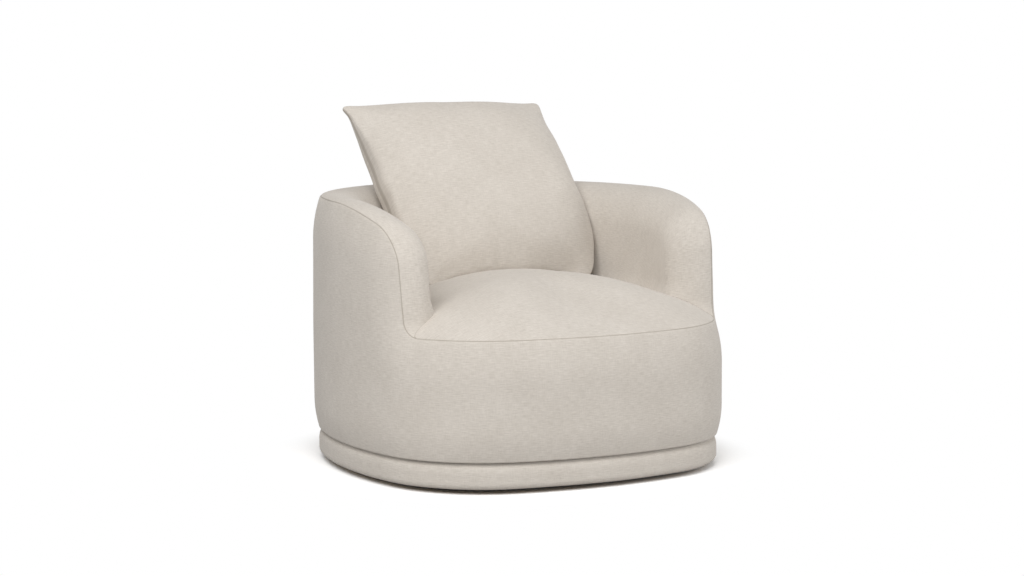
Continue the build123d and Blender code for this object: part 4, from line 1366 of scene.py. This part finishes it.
class CHAIR_OT_stage(Operator):
    """Makes the floor, the light and the camera"""

    bl_idname = "chair.stage"
    bl_label = "Stage"

    def execute(self, context):
        stage = context.scene.chair_stage
        self.floor()
        self.light()
        self.camera(context, stage)
        context.scene.view_settings.view_transform = "Standard"
        return {"FINISHED"}

    def floor(self):
        """A white floor that keeps the chair's shadow near it and is plain white further off."""
        mesh = bpy.data.meshes.new("floor")
        corners = [(x * FLOOR_REACH, y * FLOOR_REACH, 0) for x, y in ((-1, -1), (1, -1), (1, 1), (-1, 1))]
        mesh.from_pydata(corners, [], [(0, 1, 2, 3)])
        floor = bpy.data.objects.new("floor", mesh)
        bpy.context.scene.collection.objects.link(floor)
        material, tree, output = new_material("white studio floor")
        looked_at = seen_rays(tree)
        place = add(tree, "ShaderNodeTexCoord").outputs["Object"]
        distance = add(tree, "ShaderNodeVectorMath", {0: place}, operation="LENGTH").outputs["Value"]
        away = add(
            tree,
            "ShaderNodeMapRange",
            {"Value": distance},
            interpolation_type="SMOOTHSTEP",
            **{"From Min": SHADOW_START, "From Max": SHADOW_END},
        ).outputs["Result"]
        seen = add(tree, "ShaderNodeMath", {0: away, 1: looked_at}, operation="MULTIPLY").outputs["Value"]
        # The paint throws light on the chair, and the brighter floor is what is seen
        paint = add(tree, "ShaderNodeBsdfDiffuse", Color=linear(FLOOR_PAINT)).outputs["BSDF"]
        gain = (FLOOR_GAIN, FLOOR_GAIN, FLOOR_GAIN, 1.0)
        bright = add(tree, "ShaderNodeBsdfDiffuse", Color=gain).outputs["BSDF"]
        near = add(tree, "ShaderNodeMixShader", {"Fac": looked_at, 1: paint, 2: bright}).outputs["Shader"]
        white = add(tree, "ShaderNodeEmission", Color=WHITE, Strength=1.0).outputs["Emission"]
        both = add(tree, "ShaderNodeMixShader", {"Fac": seen, 1: near, 2: white}).outputs["Shader"]
        tree.links.new(both, output.inputs["Surface"])
        mesh.materials.append(material)

    def light(self):
        """Even light from all round, a large lamp high on the front left and a weaker one on the right."""
        world = bpy.data.worlds.new("studio")
        bpy.context.scene.world = world
        world.use_nodes = True
        tree = world.node_tree
        tree.nodes.clear()
        soft, white = (
            add(tree, "ShaderNodeBackground", Color=WHITE, Strength=level).outputs["Background"]
            for level in (WORLD_LEVEL, 1.0)
        )
        sky = add(tree, "ShaderNodeMixShader", {"Fac": seen_rays(tree), 1: soft, 2: white}).outputs["Shader"]
        add(tree, "ShaderNodeOutputWorld", {"Surface": sky})
        self.lamp("key", KEY_PLACE, KEY_SIZE, KEY_POWER)
        self.lamp("fill", FILL_PLACE, FILL_SIZE, FILL_POWER)

    def lamp(self, name, place, size, power):
        """A square soft lamp that points at the chair."""
        data = bpy.data.lights.new(name, "AREA")
        data.shape = "SQUARE"
        data.size = size
        data.energy = power
        lamp = bpy.data.objects.new(name, data)
        stand(lamp, place, LAMP_AIM)

    def camera(self, context, stage):
        """The camera, with the place, aim and lens of its properties."""
        data = bpy.data.cameras.new("camera")
        data.lens = stage.lens
        data.sensor_width = SENSOR_WIDTH
        data.clip_end = SIGHT
        camera = bpy.data.objects.new("camera", data)
        stand(camera, stage.camera_place, stage.camera_aim)
        context.scene.camera = camera


class CHAIR_PT_panel(Panel):
    """Lists the chair's pieces and sizes"""

    bl_idname = "CHAIR_PT_panel"
    bl_label = "Swivel chair"
    bl_space_type = "VIEW_3D"
    bl_region_type = "UI"
    bl_category = "Chair"

    def draw(self, context):
        for operator in OPERATORS:
            self.layout.operator(operator.bl_idname)
        for group in (context.scene.chair_form, context.scene.chair_finish, context.scene.chair_stage):
            for key in group.__annotations__:
                self.layout.prop(group, key)


GROUPS = (ChairForm, ChairFinish, ChairStage)
OPERATORS = (
    CHAIR_OT_finishes,
    CHAIR_OT_outer_panel,
    CHAIR_OT_inside_panel,
    CHAIR_OT_seat,
    CHAIR_OT_band,
    CHAIR_OT_pillow,
    CHAIR_OT_stage,
)


def register():
    """Makes the classes and the chair's properties known."""
    for item in (*GROUPS, *OPERATORS, CHAIR_PT_panel):
        bpy.utils.register_class(item)
    bpy.types.Scene.chair_form = PointerProperty(type=ChairForm)
    bpy.types.Scene.chair_finish = PointerProperty(type=ChairFinish)
    bpy.types.Scene.chair_stage = PointerProperty(type=ChairStage)


def unregister():
    """Takes the classes and the chair's properties away."""
    del bpy.types.Scene.chair_form
    del bpy.types.Scene.chair_finish
    del bpy.types.Scene.chair_stage
    for item in reversed((*GROUPS, *OPERATORS, CHAIR_PT_panel)):
        bpy.utils.unregister_class(item)


def main():
    """Builds the whole chair."""
    register()
    bpy.ops.chair.finishes()
    bpy.ops.chair.outer_panel()
    bpy.ops.chair.inside_panel()
    bpy.ops.chair.seat()
    bpy.ops.chair.band()
    bpy.ops.chair.pillow()
    bpy.ops.chair.stage()


if __name__ == "__main__":
    main()
